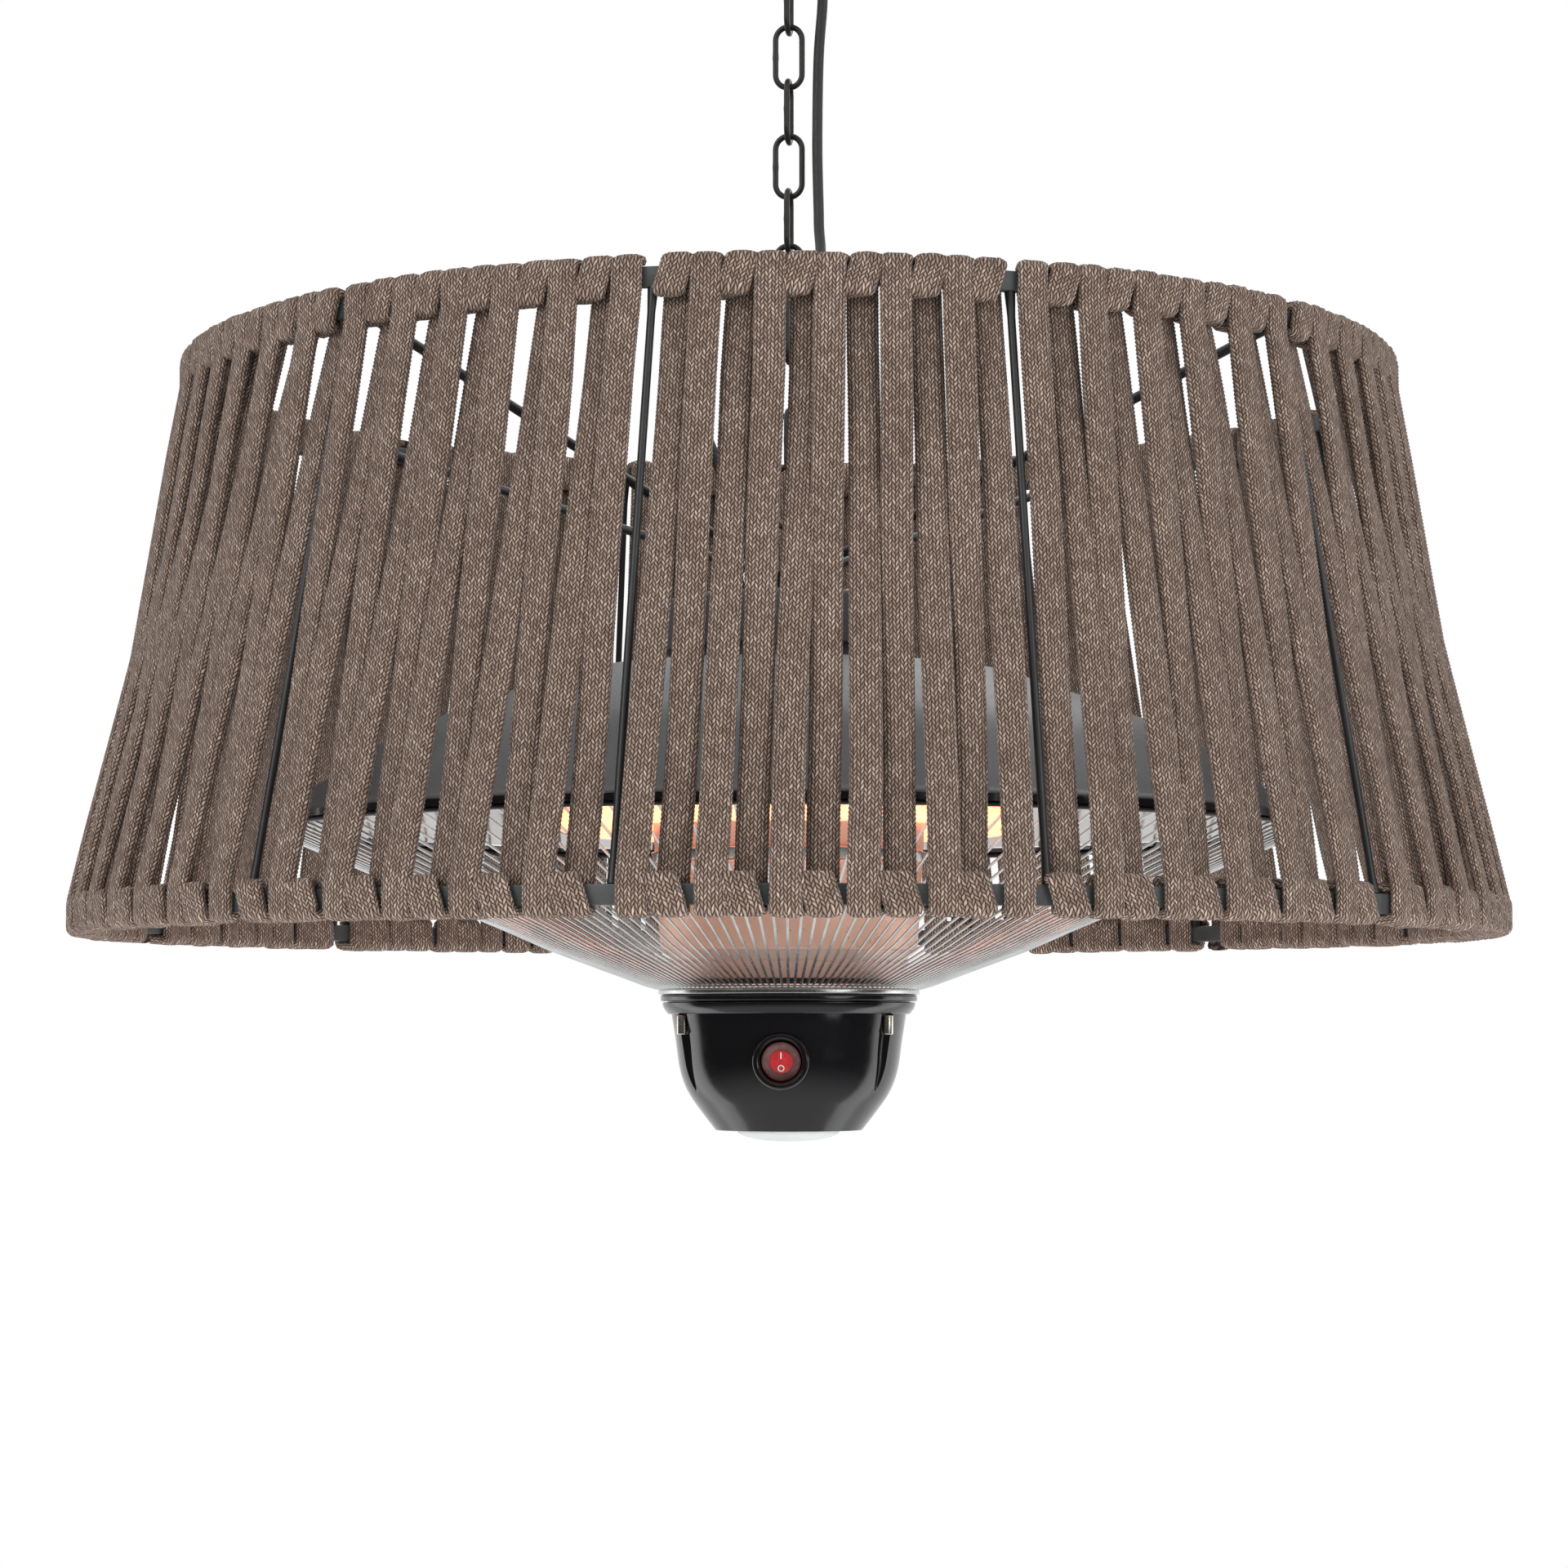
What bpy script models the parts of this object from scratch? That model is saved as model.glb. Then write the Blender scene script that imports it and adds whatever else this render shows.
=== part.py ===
"""Hanging patio heater: a rope-wound shade round an electric heater head, hung on a chain.

Heights in this file are measured upwards from the bottom rim of the shade, and angles from the
side that the switch faces (-Y) towards +X. The finished part is moved down so that the world's
origin is the middle of the ceiling plate's top face.
"""
import math

import bmesh
import bpy
from mathutils import Matrix, Vector

mm = 0.001

# Fits
clearance = 0.3 * mm

# Chain
linkCount = 10
linkWire = 2.5 * mm
linkLength = 29.2 * mm
linkWidth = 14 * mm
chainTurn = math.radians(-11)

# Eyes at both ends of the chain
eyeWire = 3 * mm
eyeRadius = 6 * mm
eyeShankDiameter = 5 * mm

# Shade frame
shadeHeight = 238 * mm
bottomRingRadius = 296 * mm
topRingRadius = 252.5 * mm
barHeight = 7.5 * mm
barThickness = 3 * mm
ribCount = 12
ribDiameter = 3 * mm
ribPhase = math.radians(-7.3)

# Rope winding. Each run crosses the frame, from outside one ring to inside the other.
ropeWidth = 10.4 * mm
ropeWrapWidth = 8.2 * mm
ropeThickness = 2.2 * mm
ropeRoom = 0.8 * mm

# Places of the rope's passes round the rings, as shares of the strip pitch after the run that
# arrives outside the top ring
topPassShare = 0.10
topWrapShare = 0.50
topInnerShare = 0.61
lowOuterShare = 0.30
lowPassShare = 0.33
lowWrapShare = 0.74
lowInnerShare = 0.79
ribLeanShare = 0.15
spokeLeadShare = 0.1

# Hub and spokes
hubLift = 7 * mm
hubThickness = 6 * mm
hubDiameter = 16.4 * mm
spokeCount = 4
spokeDiameter = 4 * mm

# Cap on the reflector
capBaseHeight = 113 * mm
capNeckLength = 7 * mm
capSkirtLength = 22 * mm
capRadius = 53 * mm
capNeckRadius = 50 * mm
capEdge = 3 * mm

# Reflector
reflectorRadius = 220 * mm
reflectorRimHeight = 44 * mm
reflectorSheet = 1.2 * mm
reflectorCrownRadius = 93 * mm
reflectorCrownHeight = 111 * mm
reflectorCrownDrop = 2 * mm
reflectorShoulderRadius = 171 * mm
reflectorShoulderHeight = 81 * mm
sheetRiseShare = 1.2

# Ring lamp and its brackets
lampRadius = 94 * mm
lampHeight = 50 * mm
lampTubeDiameter = 10 * mm
lampBracketWidth = 14 * mm
lampBracketDepth = 8 * mm

# Column between reflector and head
columnWall = 1.2 * mm

# Wire guard
guardWireCount = 48
guardWire = 1.6 * mm
guardRingWidth = 2.6 * mm
guardBottomRadius = 56.8 * mm
guardBottomHeight = -22.4 * mm

# Collar under the guard
collarHeight = 2 * mm
collarRadius = 57.2 * mm
collarInnerRadius = 50 * mm

# Head
headTopHeight = -25.5 * mm
flangeRadius = 55.2 * mm
flangeThickness = 2.8 * mm
flangeGrooveRadius = 51.5 * mm
flangeGroove = 0.5 * mm
lowerFlangeRadius = 53.5 * mm
lowerFlangeThickness = 4.8 * mm
headTopRadius = 49.7 * mm
headWaistRadius = 46.2 * mm
headWaistHeight = -57 * mm
headBottomRadius = 31.2 * mm
headBottomHeight = -82.4 * mm
headFallShare = 0.22
headRoundShare = 0.9

# Screws in the head's recesses
screwCount = 3
screwTurn = math.radians(60)
screwDiameter = 5 * mm
screwLength = 8 * mm
screwRadius = 49.4 * mm
screwRecessShift = 0.9 * mm
screwRecessRadius = 4.5 * mm
screwRecessLength = 31 * mm

# Lens
lensRadius = 21.8 * mm
lensDrop = 5 * mm

# Switch
switchHeight = -53.2 * mm
bezelDiameter = 23.6 * mm
bezelBore = 17.6 * mm
bezelFace = 49.3 * mm
bezelDepth = 8.5 * mm
bezelEdge = 1 * mm
pocketReach = 6 * mm
rockerDiameter = 16.6 * mm
rockerThickness = 3 * mm
rockerTilt = math.radians(8)

# Power cable and its glands
cableDiameter = 4.5 * mm
cableSpacing = 10 * mm
glandDiameter = 12 * mm
glandNeckDiameter = 9 * mm
glandWall = 0.9 * mm
glandNutHeight = 6 * mm
glandHeight = 20 * mm
heaterGlandRadius = 24 * mm
heaterGlandTurn = math.radians(-85)

# Ceiling plate
plateDiameter = 70 * mm
plateThickness = 4 * mm
hookNeck = 5 * mm

# Roundness
ringSegments = 36
ringFacets = 84
reflectorFacets = 56
bossSegments = 24
pocketSegments = 32
plainSegments = 12
rodSides = 8
wireSides = 6
bowSteps = 4
eyeSteps = 18
curveSteps = 5

# Places that follow from the sizes above
linkPitch = linkLength - 2 * linkWire - clearance
linkCentreOffset = (linkLength - linkWire) / 2
contactOffset = (linkWire + eyeWire) / 2 + clearance
capRimHeight = capBaseHeight + capNeckLength
capHeight = capRimHeight + capSkirtLength
hubHeight = capHeight + hubLift
hubTop = hubHeight + hubThickness
eyeCentre = hubTop + clearance + hookNeck + eyeWire / 2 + eyeRadius + eyeWire
lowestContact = eyeCentre + eyeRadius - contactOffset
firstLinkCentre = lowestContact + linkCentreOffset
lastLinkCentre = firstLinkCentre + (linkCount - 1) * linkPitch
hookCentre = lastLinkCentre + linkCentreOffset - contactOffset + eyeRadius
plateBottom = hookCentre + eyeRadius + eyeWire / 2 + hookNeck
hangHeight = plateBottom + plateThickness
wrapOffset = barThickness / 2 + clearance + ropeThickness / 2
wrapRise = barHeight / 2 + clearance + ropeThickness / 2
bottomRingHeight = ropeThickness + clearance + barHeight / 2
topRingHeight = shadeHeight - ropeThickness - clearance - barHeight / 2
reflectorTop = capBaseHeight - clearance
guardTopRadius = reflectorRadius - reflectorSheet
columnRadius = guardBottomRadius - clearance
bayAngle = 2 * math.pi / ribCount
ribRoom = 2 * ribDiameter / topRingRadius
runRoom = (ropeWidth + ropeRoom) / (topRingRadius - wrapOffset)
mostRuns = int((bayAngle - ribRoom) / runRoom)
runsPerBay = mostRuns - 1 + mostRuns % 2
stripPitch = 2 * (bayAngle - ribRoom) / runsPerBay
firstStrip = (ropeWidth / 2 + ribDiameter) / topRingRadius

pivots = {}
bodies = {}


def removeOldObjects():
    for item in list(bpy.data.objects):
        bpy.data.objects.remove(item, do_unlink=True)


def makeMaterial(name, colour, roughness, metallic):
    material = bpy.data.materials.new(name)
    material.use_nodes = True
    shader = material.node_tree.nodes["Principled BSDF"]
    shader.inputs["Base Color"].default_value = (*colour, 1)
    shader.inputs["Roughness"].default_value = roughness
    shader.inputs["Metallic"].default_value = metallic
    material.diffuse_color = (*colour, 1)
    return material


def addPivot(body, height):
    """An empty on a body's joint, which carries the pieces of that body."""
    empty = bpy.data.objects.new("pivot_" + body, None)
    empty.location = (0, 0, height - hangHeight)
    bpy.context.scene.collection.objects.link(empty)
    pivots[body] = height
    bodies[body] = empty


def finish(name, shape, material, body, smooth=True):
    """Turns a closed bmesh, built in shade heights, into a named object carried by its body."""
    shape.transform(Matrix.Translation((0, 0, -pivots[body])))
    shape.normal_update()
    bmesh.ops.recalc_face_normals(shape, faces=shape.faces)
    if shape.calc_volume(signed=True) < 0:
        bmesh.ops.reverse_faces(shape, faces=shape.faces)
    mesh = bpy.data.meshes.new(name)
    shape.to_mesh(mesh)
    shape.free()
    if smooth:
        mesh.shade_smooth()
        mesh.set_sharp_from_angle(angle=math.radians(35))
    mesh.materials.append(material)
    item = bpy.data.objects.new(name, mesh)
    item.parent = bodies[body]
    bpy.context.scene.collection.objects.link(item)
    return item


def around(radius, angle, height):
    return Vector((radius * math.sin(angle), -radius * math.cos(angle), height))


def sweep(shape, rings, closed):
    """Joins rings of points with quads, and closes the ends with faces unless the sweep is a loop."""
    loops = [[shape.verts.new(point) for point in ring] for ring in rings]
    pairs = list(zip(loops, loops[1:]))
    if closed:
        pairs.append((loops[-1], loops[0]))
    for first, second in pairs:
        for side in range(len(first)):
            after = (side + 1) % len(first)
            shape.faces.new((first[side], first[after], second[after], second[side]))
    if not closed:
        shape.faces.new(loops[0])
        shape.faces.new(list(reversed(loops[-1])))


def lathe(profile, segments=ringSegments, closed=False):
    """Turns a profile of (radius, height) points. A point on the axis becomes a pole."""
    shape = bmesh.new()
    columns = []
    for radius, height in profile:
        if radius == 0:
            columns.append([shape.verts.new((0, 0, height))])
            continue
        turn = 2 * math.pi / segments
        columns.append([shape.verts.new(around(radius, turn * step, height)) for step in range(segments)])
    pairs = list(zip(columns, columns[1:]))
    if closed:
        pairs.append((columns[-1], columns[0]))
    for upper, lower in pairs:
        for step in range(segments):
            after = (step + 1) % segments
            if len(upper) == 1:
                shape.faces.new((upper[0], lower[step], lower[after]))
            elif len(lower) == 1:
                shape.faces.new((upper[step], lower[0], upper[after]))
            else:
                shape.faces.new((upper[step], lower[step], lower[after], upper[after]))
    return shape


def rod(start, end, diameter, sides=rodSides):
    """A straight round bar between two points."""
    shape = bmesh.new()
    addRod(shape, start, end, diameter, sides)
    return shape


def addRod(shape, start, end, diameter, sides):
    turn = (end - start).to_track_quat("Z", "Y").to_matrix()
    rings = []
    for centre in (start, end):
        points = []
        for step in range(sides):
            angle = 2 * math.pi * step / sides
            points.append(centre + turn @ Vector((math.cos(angle), math.sin(angle), 0)) * (diameter / 2))
        rings.append(points)
    sweep(shape, rings, closed=False)


def block(low, high, angle=0.0, edge=0.0):
    """A box from its low to its high corner, turned about the vertical axis, with softened edges."""
    shape = bmesh.new()
    bmesh.ops.create_cube(shape, size=1)
    size = Vector(high) - Vector(low)
    middle = (Vector(high) + Vector(low)) / 2
    shape.transform(Matrix.Diagonal((*size, 1)))
    if edge:
        bmesh.ops.bevel(shape, geom=shape.edges, offset=edge, segments=1, affect="EDGES")
    shape.transform(Matrix.Rotation(angle, 4, "Z") @ Matrix.Translation(middle))
    return shape


def cutAway(item, tool):
    """Cuts an object with a guide object and keeps the result as the object's own mesh."""
    applyBoolean(item, tool, "DIFFERENCE")


def applyBoolean(item, tool, operation):
    tool.hide_render = True
    tool.display_type = "WIRE"
    modifier = item.modifiers.new(operation.lower(), "BOOLEAN")
    modifier.operation = operation
    modifier.solver = "EXACT"
    modifier.object = tool


def guide(name, shape, body):
    return finish(name, shape, guideMaterial, body, smooth=False)


# Chain, its eyes and the ceiling plate

def wireLoop(points, directions, wire, sides):
    """A closed round wire along a flat path in the XZ plane, given outward directions."""
    shape = bmesh.new()
    rings = []
    for point, outward in zip(points, directions):
        ring = []
        for step in range(sides):
            angle = 2 * math.pi * step / sides
            arm = outward * math.cos(angle) + Vector((0, 1, 0)) * math.sin(angle)
            ring.append(point + arm * (wire / 2))
        rings.append(ring)
    sweep(shape, rings, closed=True)
    return shape


def linkShape(centre, turn):
    """One welded link: two straight sides joined by half-round bows."""
    bowRadius = (linkWidth - linkWire) / 2
    straight = (linkLength - linkWidth) / 2
    points = []
    directions = []
    for end in (1, -1):
        for step in range(bowSteps + 1):
            angle = math.pi * step / bowSteps
            outward = Vector((math.cos(angle) * end, 0, math.sin(angle) * end))
            points.append(outward * bowRadius + Vector((0, 0, straight * end)))
            directions.append(outward)
    shape = wireLoop(points, directions, linkWire, wireSides)
    shape.transform(Matrix.Translation((0, 0, centre)) @ Matrix.Rotation(turn, 4, "Z"))
    return shape


def eyeShape(centre, shankEnd, shankSign, turn):
    """A ring eye with a round shank on one side, as one body."""
    points = []
    directions = []
    for step in range(eyeSteps):
        angle = 2 * math.pi * step / eyeSteps
        outward = Vector((math.cos(angle), 0, math.sin(angle)))
        points.append(outward * eyeRadius)
        directions.append(outward)
    shape = wireLoop(points, directions, eyeWire, wireSides)
    shape.transform(Matrix.Translation((0, 0, centre)) @ Matrix.Rotation(turn, 4, "Z"))
    start = Vector((0, 0, centre + shankSign * eyeRadius))
    shank = rod(start, Vector((0, 0, shankEnd)), eyeShankDiameter, sides=plainSegments)
    return shape, shank


def makeEye(name, centre, shankEnd, shankSign, turn, body):
    ring, shank = eyeShape(centre, shankEnd, shankSign, turn)
    item = finish(name, ring, zinc, body)
    tool = guide(name + "_shank_guide", shank, body)
    applyBoolean(item, tool, "UNION")


def makeCeilingParts():
    addPivot("ceiling", hangHeight)
    plateRadius = plateDiameter / 2
    profile = [(0, hangHeight), (plateRadius, hangHeight), (plateRadius, plateBottom + bezelEdge),
               (plateRadius - bezelEdge, plateBottom), (0, plateBottom)]
    finish("ceiling_plate", lathe(profile), blackPaint, "ceiling")
    makeEye("ceiling_hook", hookCentre, plateBottom - clearance, 1, chainTurn, "ceiling")
    middle = Vector((cableSpacing + cableDiameter, 0, plateBottom - clearance))
    gland = glandShape(glandHeight)
    gland.transform(Matrix.Translation(middle) @ Matrix.Rotation(math.pi, 4, "X"))
    finish("ceiling_gland", gland, blackPlastic, "ceiling")


def makeChain():
    for number in range(linkCount, 0, -1):
        body = "link_%02d" % number
        centre = firstLinkCentre + (number - 1) * linkPitch
        if number == linkCount:
            addPivot(body, hookCentre - eyeRadius)
        else:
            addPivot(body, centre + linkPitch - linkCentreOffset)
        turn = chainTurn if number % 2 else chainTurn + math.pi / 2
        finish(body, linkShape(centre, turn), chainPaint, body)


def glandShape(height):
    """A strain relief: a round nut on z = 0 with a sleeve that tapers to the cable."""
    nut = glandDiameter / 2
    tip = cableDiameter / 2 + glandWall
    profile = [(0, height), (tip, height), (glandNeckDiameter / 2, glandNutHeight), (nut, glandNutHeight), (nut, 0),
               (0, 0)]
    return lathe(profile, segments=plainSegments)


# Power cable

def cableRoute():
    """The cable beside the chain, its slack loop above the shade, and the run to the heater's gland."""
    gland = around(heaterGlandRadius, heaterGlandTurn, capHeight + clearance + glandHeight + clearance)
    top = Vector((cableSpacing + cableDiameter, 0, plateBottom - glandHeight - 2 * clearance))
    route = [top, top - Vector((0, 0, glandHeight / 2))]
    chosen = [(12.5, -2.5, 376), (11.5, -5, 338), (14.5, -11, 304), (14, -22, 284), (2, -32, 275), (-18, -34, 273),
              (-38, -26, 271), (-48, -14, 259), (-46, -9, 237), (-34, -6, 211), (-26, -3.5, 188)]
    route += [Vector(point) * mm for point in chosen]
    route += [gland + Vector((0, 0, glandHeight / 2)), gland]
    return route


def smoothPoints(route, spacing):
    """Evenly spaced points on a centripetal curve through the route's points."""
    ends = [route[0] * 2 - route[1]] + route + [route[-1] * 2 - route[-2]]
    fine = []
    for index in range(1, len(ends) - 2):
        before, start, end, after = ends[index - 1:index + 3]
        for step in range(24):
            t = step / 24
            blend = (start * 2 + (end - before) * t + (before * 2 - start * 5 + end * 4 - after) * t * t
                     + (start * 3 - before - end * 3 + after) * t * t * t) / 2
            fine.append(blend)
    fine.append(route[-1])
    lengths = [0.0]
    for first, second in zip(fine, fine[1:]):
        lengths.append(lengths[-1] + (second - first).length)
    count = max(4, round(lengths[-1] / spacing))
    points = []
    index = 0
    for step in range(count + 1):
        target = lengths[-1] * step / count
        while index < len(fine) - 2 and lengths[index + 1] < target:
            index += 1
        share = (target - lengths[index]) / (lengths[index + 1] - lengths[index])
        points.append(fine[index].lerp(fine[index + 1], min(1, share)))
    return points, lengths[-1]


def makeCable():
    points, length = smoothPoints(cableRoute(), cableDiameter * 2.5)
    curve = bpy.data.curves.new("power_cable", "CURVE")
    curve.dimensions = "3D"
    curve.bevel_depth = cableDiameter / 2
    curve.bevel_resolution = 2
    curve.use_fill_caps = True
    spline = curve.splines.new("POLY")
    spline.points.add(len(points) - 1)
    for knot, point in zip(spline.points, points):
        knot.co = (*(point - Vector((0, 0, hangHeight))), 1)
    curve.materials.append(cableRubber)
    item = bpy.data.objects.new("power_cable", curve)
    bpy.context.scene.collection.objects.link(item)
    item.parent = bodies["ceiling"]
    print("cable length %.1f mm" % (length / mm))


# Shade frame and rope

def flatRing(radius, height):
    inner = radius - barThickness / 2
    outer = radius + barThickness / 2
    top = height + barHeight / 2
    bottom = height - barHeight / 2
    profile = [(inner, top), (outer, top), (outer, bottom), (inner, bottom)]
    return lathe(profile, closed=True, segments=ringFacets)


def ribAngle(number):
    return ribPhase + 2 * math.pi * number / ribCount


def ribShape(angle):
    """A straight round rod from ring to ring that leans a little to the left, as the runs beside it do."""
    low = bottomRingHeight + barHeight / 2 + clearance
    high = topRingHeight - barHeight / 2 - clearance
    slope = (bottomRingRadius - topRingRadius) / (topRingHeight - bottomRingHeight)
    foot = around(bottomRingRadius - slope * (low - bottomRingHeight), angle - ribLeanShare * stripPitch, low)
    head = around(topRingRadius + slope * (topRingHeight - high), angle, high)
    return rod(foot, head, ribDiameter, sides=wireSides)


def topTurn(start):
    """Passes round the top ring for a run that arrives outside it: radius, height, angle, direction, width."""
    outside, inside = topRingRadius + wrapOffset, topRingRadius - wrapOffset
    over, under = topRingHeight + wrapRise, topRingHeight - wrapRise
    inward = start + topPassShare * stripPitch
    wrap = start + topWrapShare * stripPitch
    leave = start + topInnerShare * stripPitch
    return [
        (outside, under, start, (1, 0), ropeWidth),
        (outside, over, start, (1, 1), ropeWidth),
        (inside, over, inward, (-1, 1), ropeWrapWidth),
        (inside, under, inward, (-1, -1), ropeWrapWidth),
        (outside, under, wrap, (1, -1), ropeWrapWidth),
        (outside, over, wrap, (1, 1), ropeWrapWidth),
        (inside, over, leave, (-1, 1), ropeWidth),
        (inside, under, leave, (-1, 0), ropeWidth)]


def bottomTurn(start):
    """Passes round the bottom ring for the run that follows the turn round the top ring.

    A run crosses the frame, so the rope's face that looks away from the top ring touches this one.
    """
    outside, inside = bottomRingRadius + wrapOffset, bottomRingRadius - wrapOffset
    over, under = bottomRingHeight + wrapRise, bottomRingHeight - wrapRise
    arrive = start + lowOuterShare * stripPitch
    inward = start + lowPassShare * stripPitch
    wrap = start + lowWrapShare * stripPitch
    leave = start + lowInnerShare * stripPitch
    return [
        (outside, over, arrive, (-1, 0), ropeWidth),
        (outside, under, arrive, (-1, 1), ropeWidth),
        (inside, under, inward, (1, 1), ropeWrapWidth),
        (inside, over, inward, (1, -1), ropeWrapWidth),
        (outside, over, wrap, (-1, -1), ropeWrapWidth),
        (outside, under, wrap, (-1, 1), ropeWrapWidth),
        (inside, under, leave, (1, 1), ropeWidth),
        (inside, over, leave, (1, 0), ropeWidth)]


def ropeEnd(last, after, facing):
    """The rope's end on a ring's edge, half way from its last pass to where the next would be."""
    radius, height, angle, width = ((last[i] + after[i]) / 2 for i in (0, 1, 2, 4))
    return radius, height, angle, facing, width


def ropePath(bay):
    """Route of one bay's rope. An odd number of runs makes every second bay start with a rising run."""
    first = ribAngle(bay) + firstStrip
    fullTurns = runsPerBay // 2
    half = len(topTurn(0)) // 2
    if bay % 2:
        passes = bottomTurn(first - stripPitch)[half:]
        _, over, wrap, _, width = passes[0]
        path = [(bottomRingRadius, over, wrap, (0, -1), width)] + passes
        for strip in range(fullTurns):
            path += topTurn(first + strip * stripPitch) + bottomTurn(first + strip * stripPitch)
        passes = topTurn(first + fullTurns * stripPitch)
        return path + passes[:2] + [ropeEnd(passes[1], passes[2], (0, 1))]
    first -= stripPitch / 2
    passes = topTurn(first)[half:]
    _, under, wrap, _, width = passes[0]
    path = [(topRingRadius, under, wrap, (0, -1), width)] + passes + bottomTurn(first)
    for strip in range(1, fullTurns):
        path += topTurn(first + strip * stripPitch) + bottomTurn(first + strip * stripPitch)
    passes = bottomTurn(first + fullTurns * stripPitch)
    path += topTurn(first + fullTurns * stripPitch) + passes[:2]
    return path + [ropeEnd(passes[1], passes[2], (0, 1))]


def ropeShape(path):
    """A flat ribbon along the path: its width lies along the ring and its thickness across it."""
    rings = []
    for radius, height, angle, (outward, upward), width in path:
        ring = []
        for across, through in ((-1, -1), (1, -1), (1, 1), (-1, 1)):
            reach = radius + through * outward * ropeThickness / 2
            level = height + through * upward * ropeThickness / 2
            point = around(reach, angle, level)
            tangent = Vector((math.cos(angle), math.sin(angle), 0))
            ring.append(point + tangent * (across * width / 2))
        rings.append(ring)
    shape = bmesh.new()
    sweep(shape, rings, closed=False)
    return shape


def leastRopeGap(path):
    """Least sideways gap between passes of a bay's rope that lie in the same layer."""
    samples = []
    steps = 2 * curveSteps
    for index, (first, second) in enumerate(zip(path, path[1:])):
        for step in range(steps):
            share = step / steps
            radius, height, angle = (first[i] + (second[i] - first[i]) * share for i in range(3))
            samples.append((index, radius, height, angle, first[4] + (second[4] - first[4]) * share))
    gaps = []
    for index, radius, height, angle, width in samples:
        for other, nearRadius, nearHeight, nearAngle, nearWidth in samples:
            if other < index + 2 or abs(nearRadius - radius) > ropeThickness / 2:
                continue
            if abs(nearHeight - height) < ropeThickness / 2:
                gaps.append(abs(nearAngle - angle) * radius - (width + nearWidth) / 2)
    return min(gaps)


def makeShade():
    finish("top_ring", flatRing(topRingRadius, topRingHeight), framePaint, "heater")
    finish("bottom_ring", flatRing(bottomRingRadius, bottomRingHeight), framePaint, "heater")
    for number in range(ribCount):
        finish("rib_%02d" % (number + 1), ribShape(ribAngle(number)), blackPaint, "heater")
        path = ropePath(number)
        finish("rope_bay_%02d" % (number + 1), ropeShape(path), rope, "heater", smooth=False)
    gaps = [leastRopeGap(ropePath(bay)) for bay in range(2)]
    print("least gap of the rope to itself %.2f mm" % (min(gaps) / mm))
    print("runs in a bay %d, strip pitch %.3f degrees" % (runsPerBay, math.degrees(stripPitch)))


def makeSpider():
    """Hub disc with one spoke to the top ring at every third rib."""
    hub = finish("spider", lathe([(0, hubTop), (hubDiameter / 2, hubTop), (hubDiameter / 2, hubHeight),
                                  (0, hubHeight)], segments=bossSegments), blackPaint, "heater")
    spokes = bmesh.new()
    reach = topRingRadius - barThickness / 2 - clearance - spokeDiameter / 4
    for number in range(spokeCount):
        angle = ribAngle((number + 1) * ribCount // spokeCount - 1) + spokeLeadShare * stripPitch
        start = around(spokeDiameter, angle, hubHeight + hubThickness / 2)
        addRod(spokes, start, around(reach, angle, topRingHeight), spokeDiameter, rodSides)
    tool = guide("spoke_guide", spokes, "heater")
    applyBoolean(hub, tool, "UNION")
    hub.modifiers[-1].use_self = True


# Heater body

def makeCap():
    profile = [
        (0, hubHeight - clearance), (eyeShankDiameter, hubHeight - clearance), (eyeShankDiameter, capHeight),
        (capRadius - capEdge, capHeight), (capRadius, capHeight - capEdge), (capRadius, capRimHeight),
        (capNeckRadius, capRimHeight), (capNeckRadius, capBaseHeight), (0, capBaseHeight)]
    finish("top_cap", lathe(profile), darkPaint, "heater")
    gland = glandShape(glandHeight)
    place = around(heaterGlandRadius, heaterGlandTurn, capHeight + clearance)
    gland.transform(Matrix.Translation(place))
    finish("cable_gland", gland, blackPlastic, "heater")


def reflectorProfile():
    """Outer face from the middle to the rim, then the inner face back to the middle."""
    corner = (reflectorCrownRadius + reflectorShoulderRadius) / 2
    cornerHeight = (reflectorCrownHeight + reflectorShoulderHeight) / 2 + reflectorSheet
    crown = reflectorTop - reflectorCrownDrop
    outer = [(0, reflectorTop), (capNeckRadius, reflectorTop), (reflectorCrownRadius, crown),
             (corner, cornerHeight), (reflectorShoulderRadius, reflectorShoulderHeight),
             (reflectorRadius, reflectorRimHeight + reflectorSheet), (reflectorRadius, reflectorRimHeight)]
    inner = [(radius - reflectorSheet * bool(radius), height - reflectorSheet * sheetRiseShare)
             for radius, height in reversed(outer[:-1])]
    inner[0] = (reflectorRadius - reflectorSheet * 2, reflectorRimHeight)
    return outer + inner


def makeReflector():
    finish("reflector", lathe(reflectorProfile(), segments=reflectorFacets), reflectorMetal, "heater")
    tube = []
    for step in range(ringSegments):
        angle = 2 * math.pi * step / ringSegments
        ring = []
        for side in range(wireSides):
            turn = 2 * math.pi * side / wireSides
            reach = lampRadius + math.cos(turn) * lampTubeDiameter / 2
            ring.append(around(reach, angle, lampHeight + math.sin(turn) * lampTubeDiameter / 2))
        tube.append(ring)
    lamp = bmesh.new()
    sweep(lamp, tube, closed=True)
    finish("lamp_ring", lamp, lampGlass, "heater")


def innerFace(radius):
    """Height of the reflector's inner face at a radius."""
    rows = reflectorProfile()
    rows = sorted(rows[len(rows) // 2 + 1:])
    for (near, high), (far, low) in zip(rows, rows[1:]):
        if near <= radius <= far:
            return high + (low - high) * (radius - near) / (far - near)
    return rows[0][1]


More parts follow.
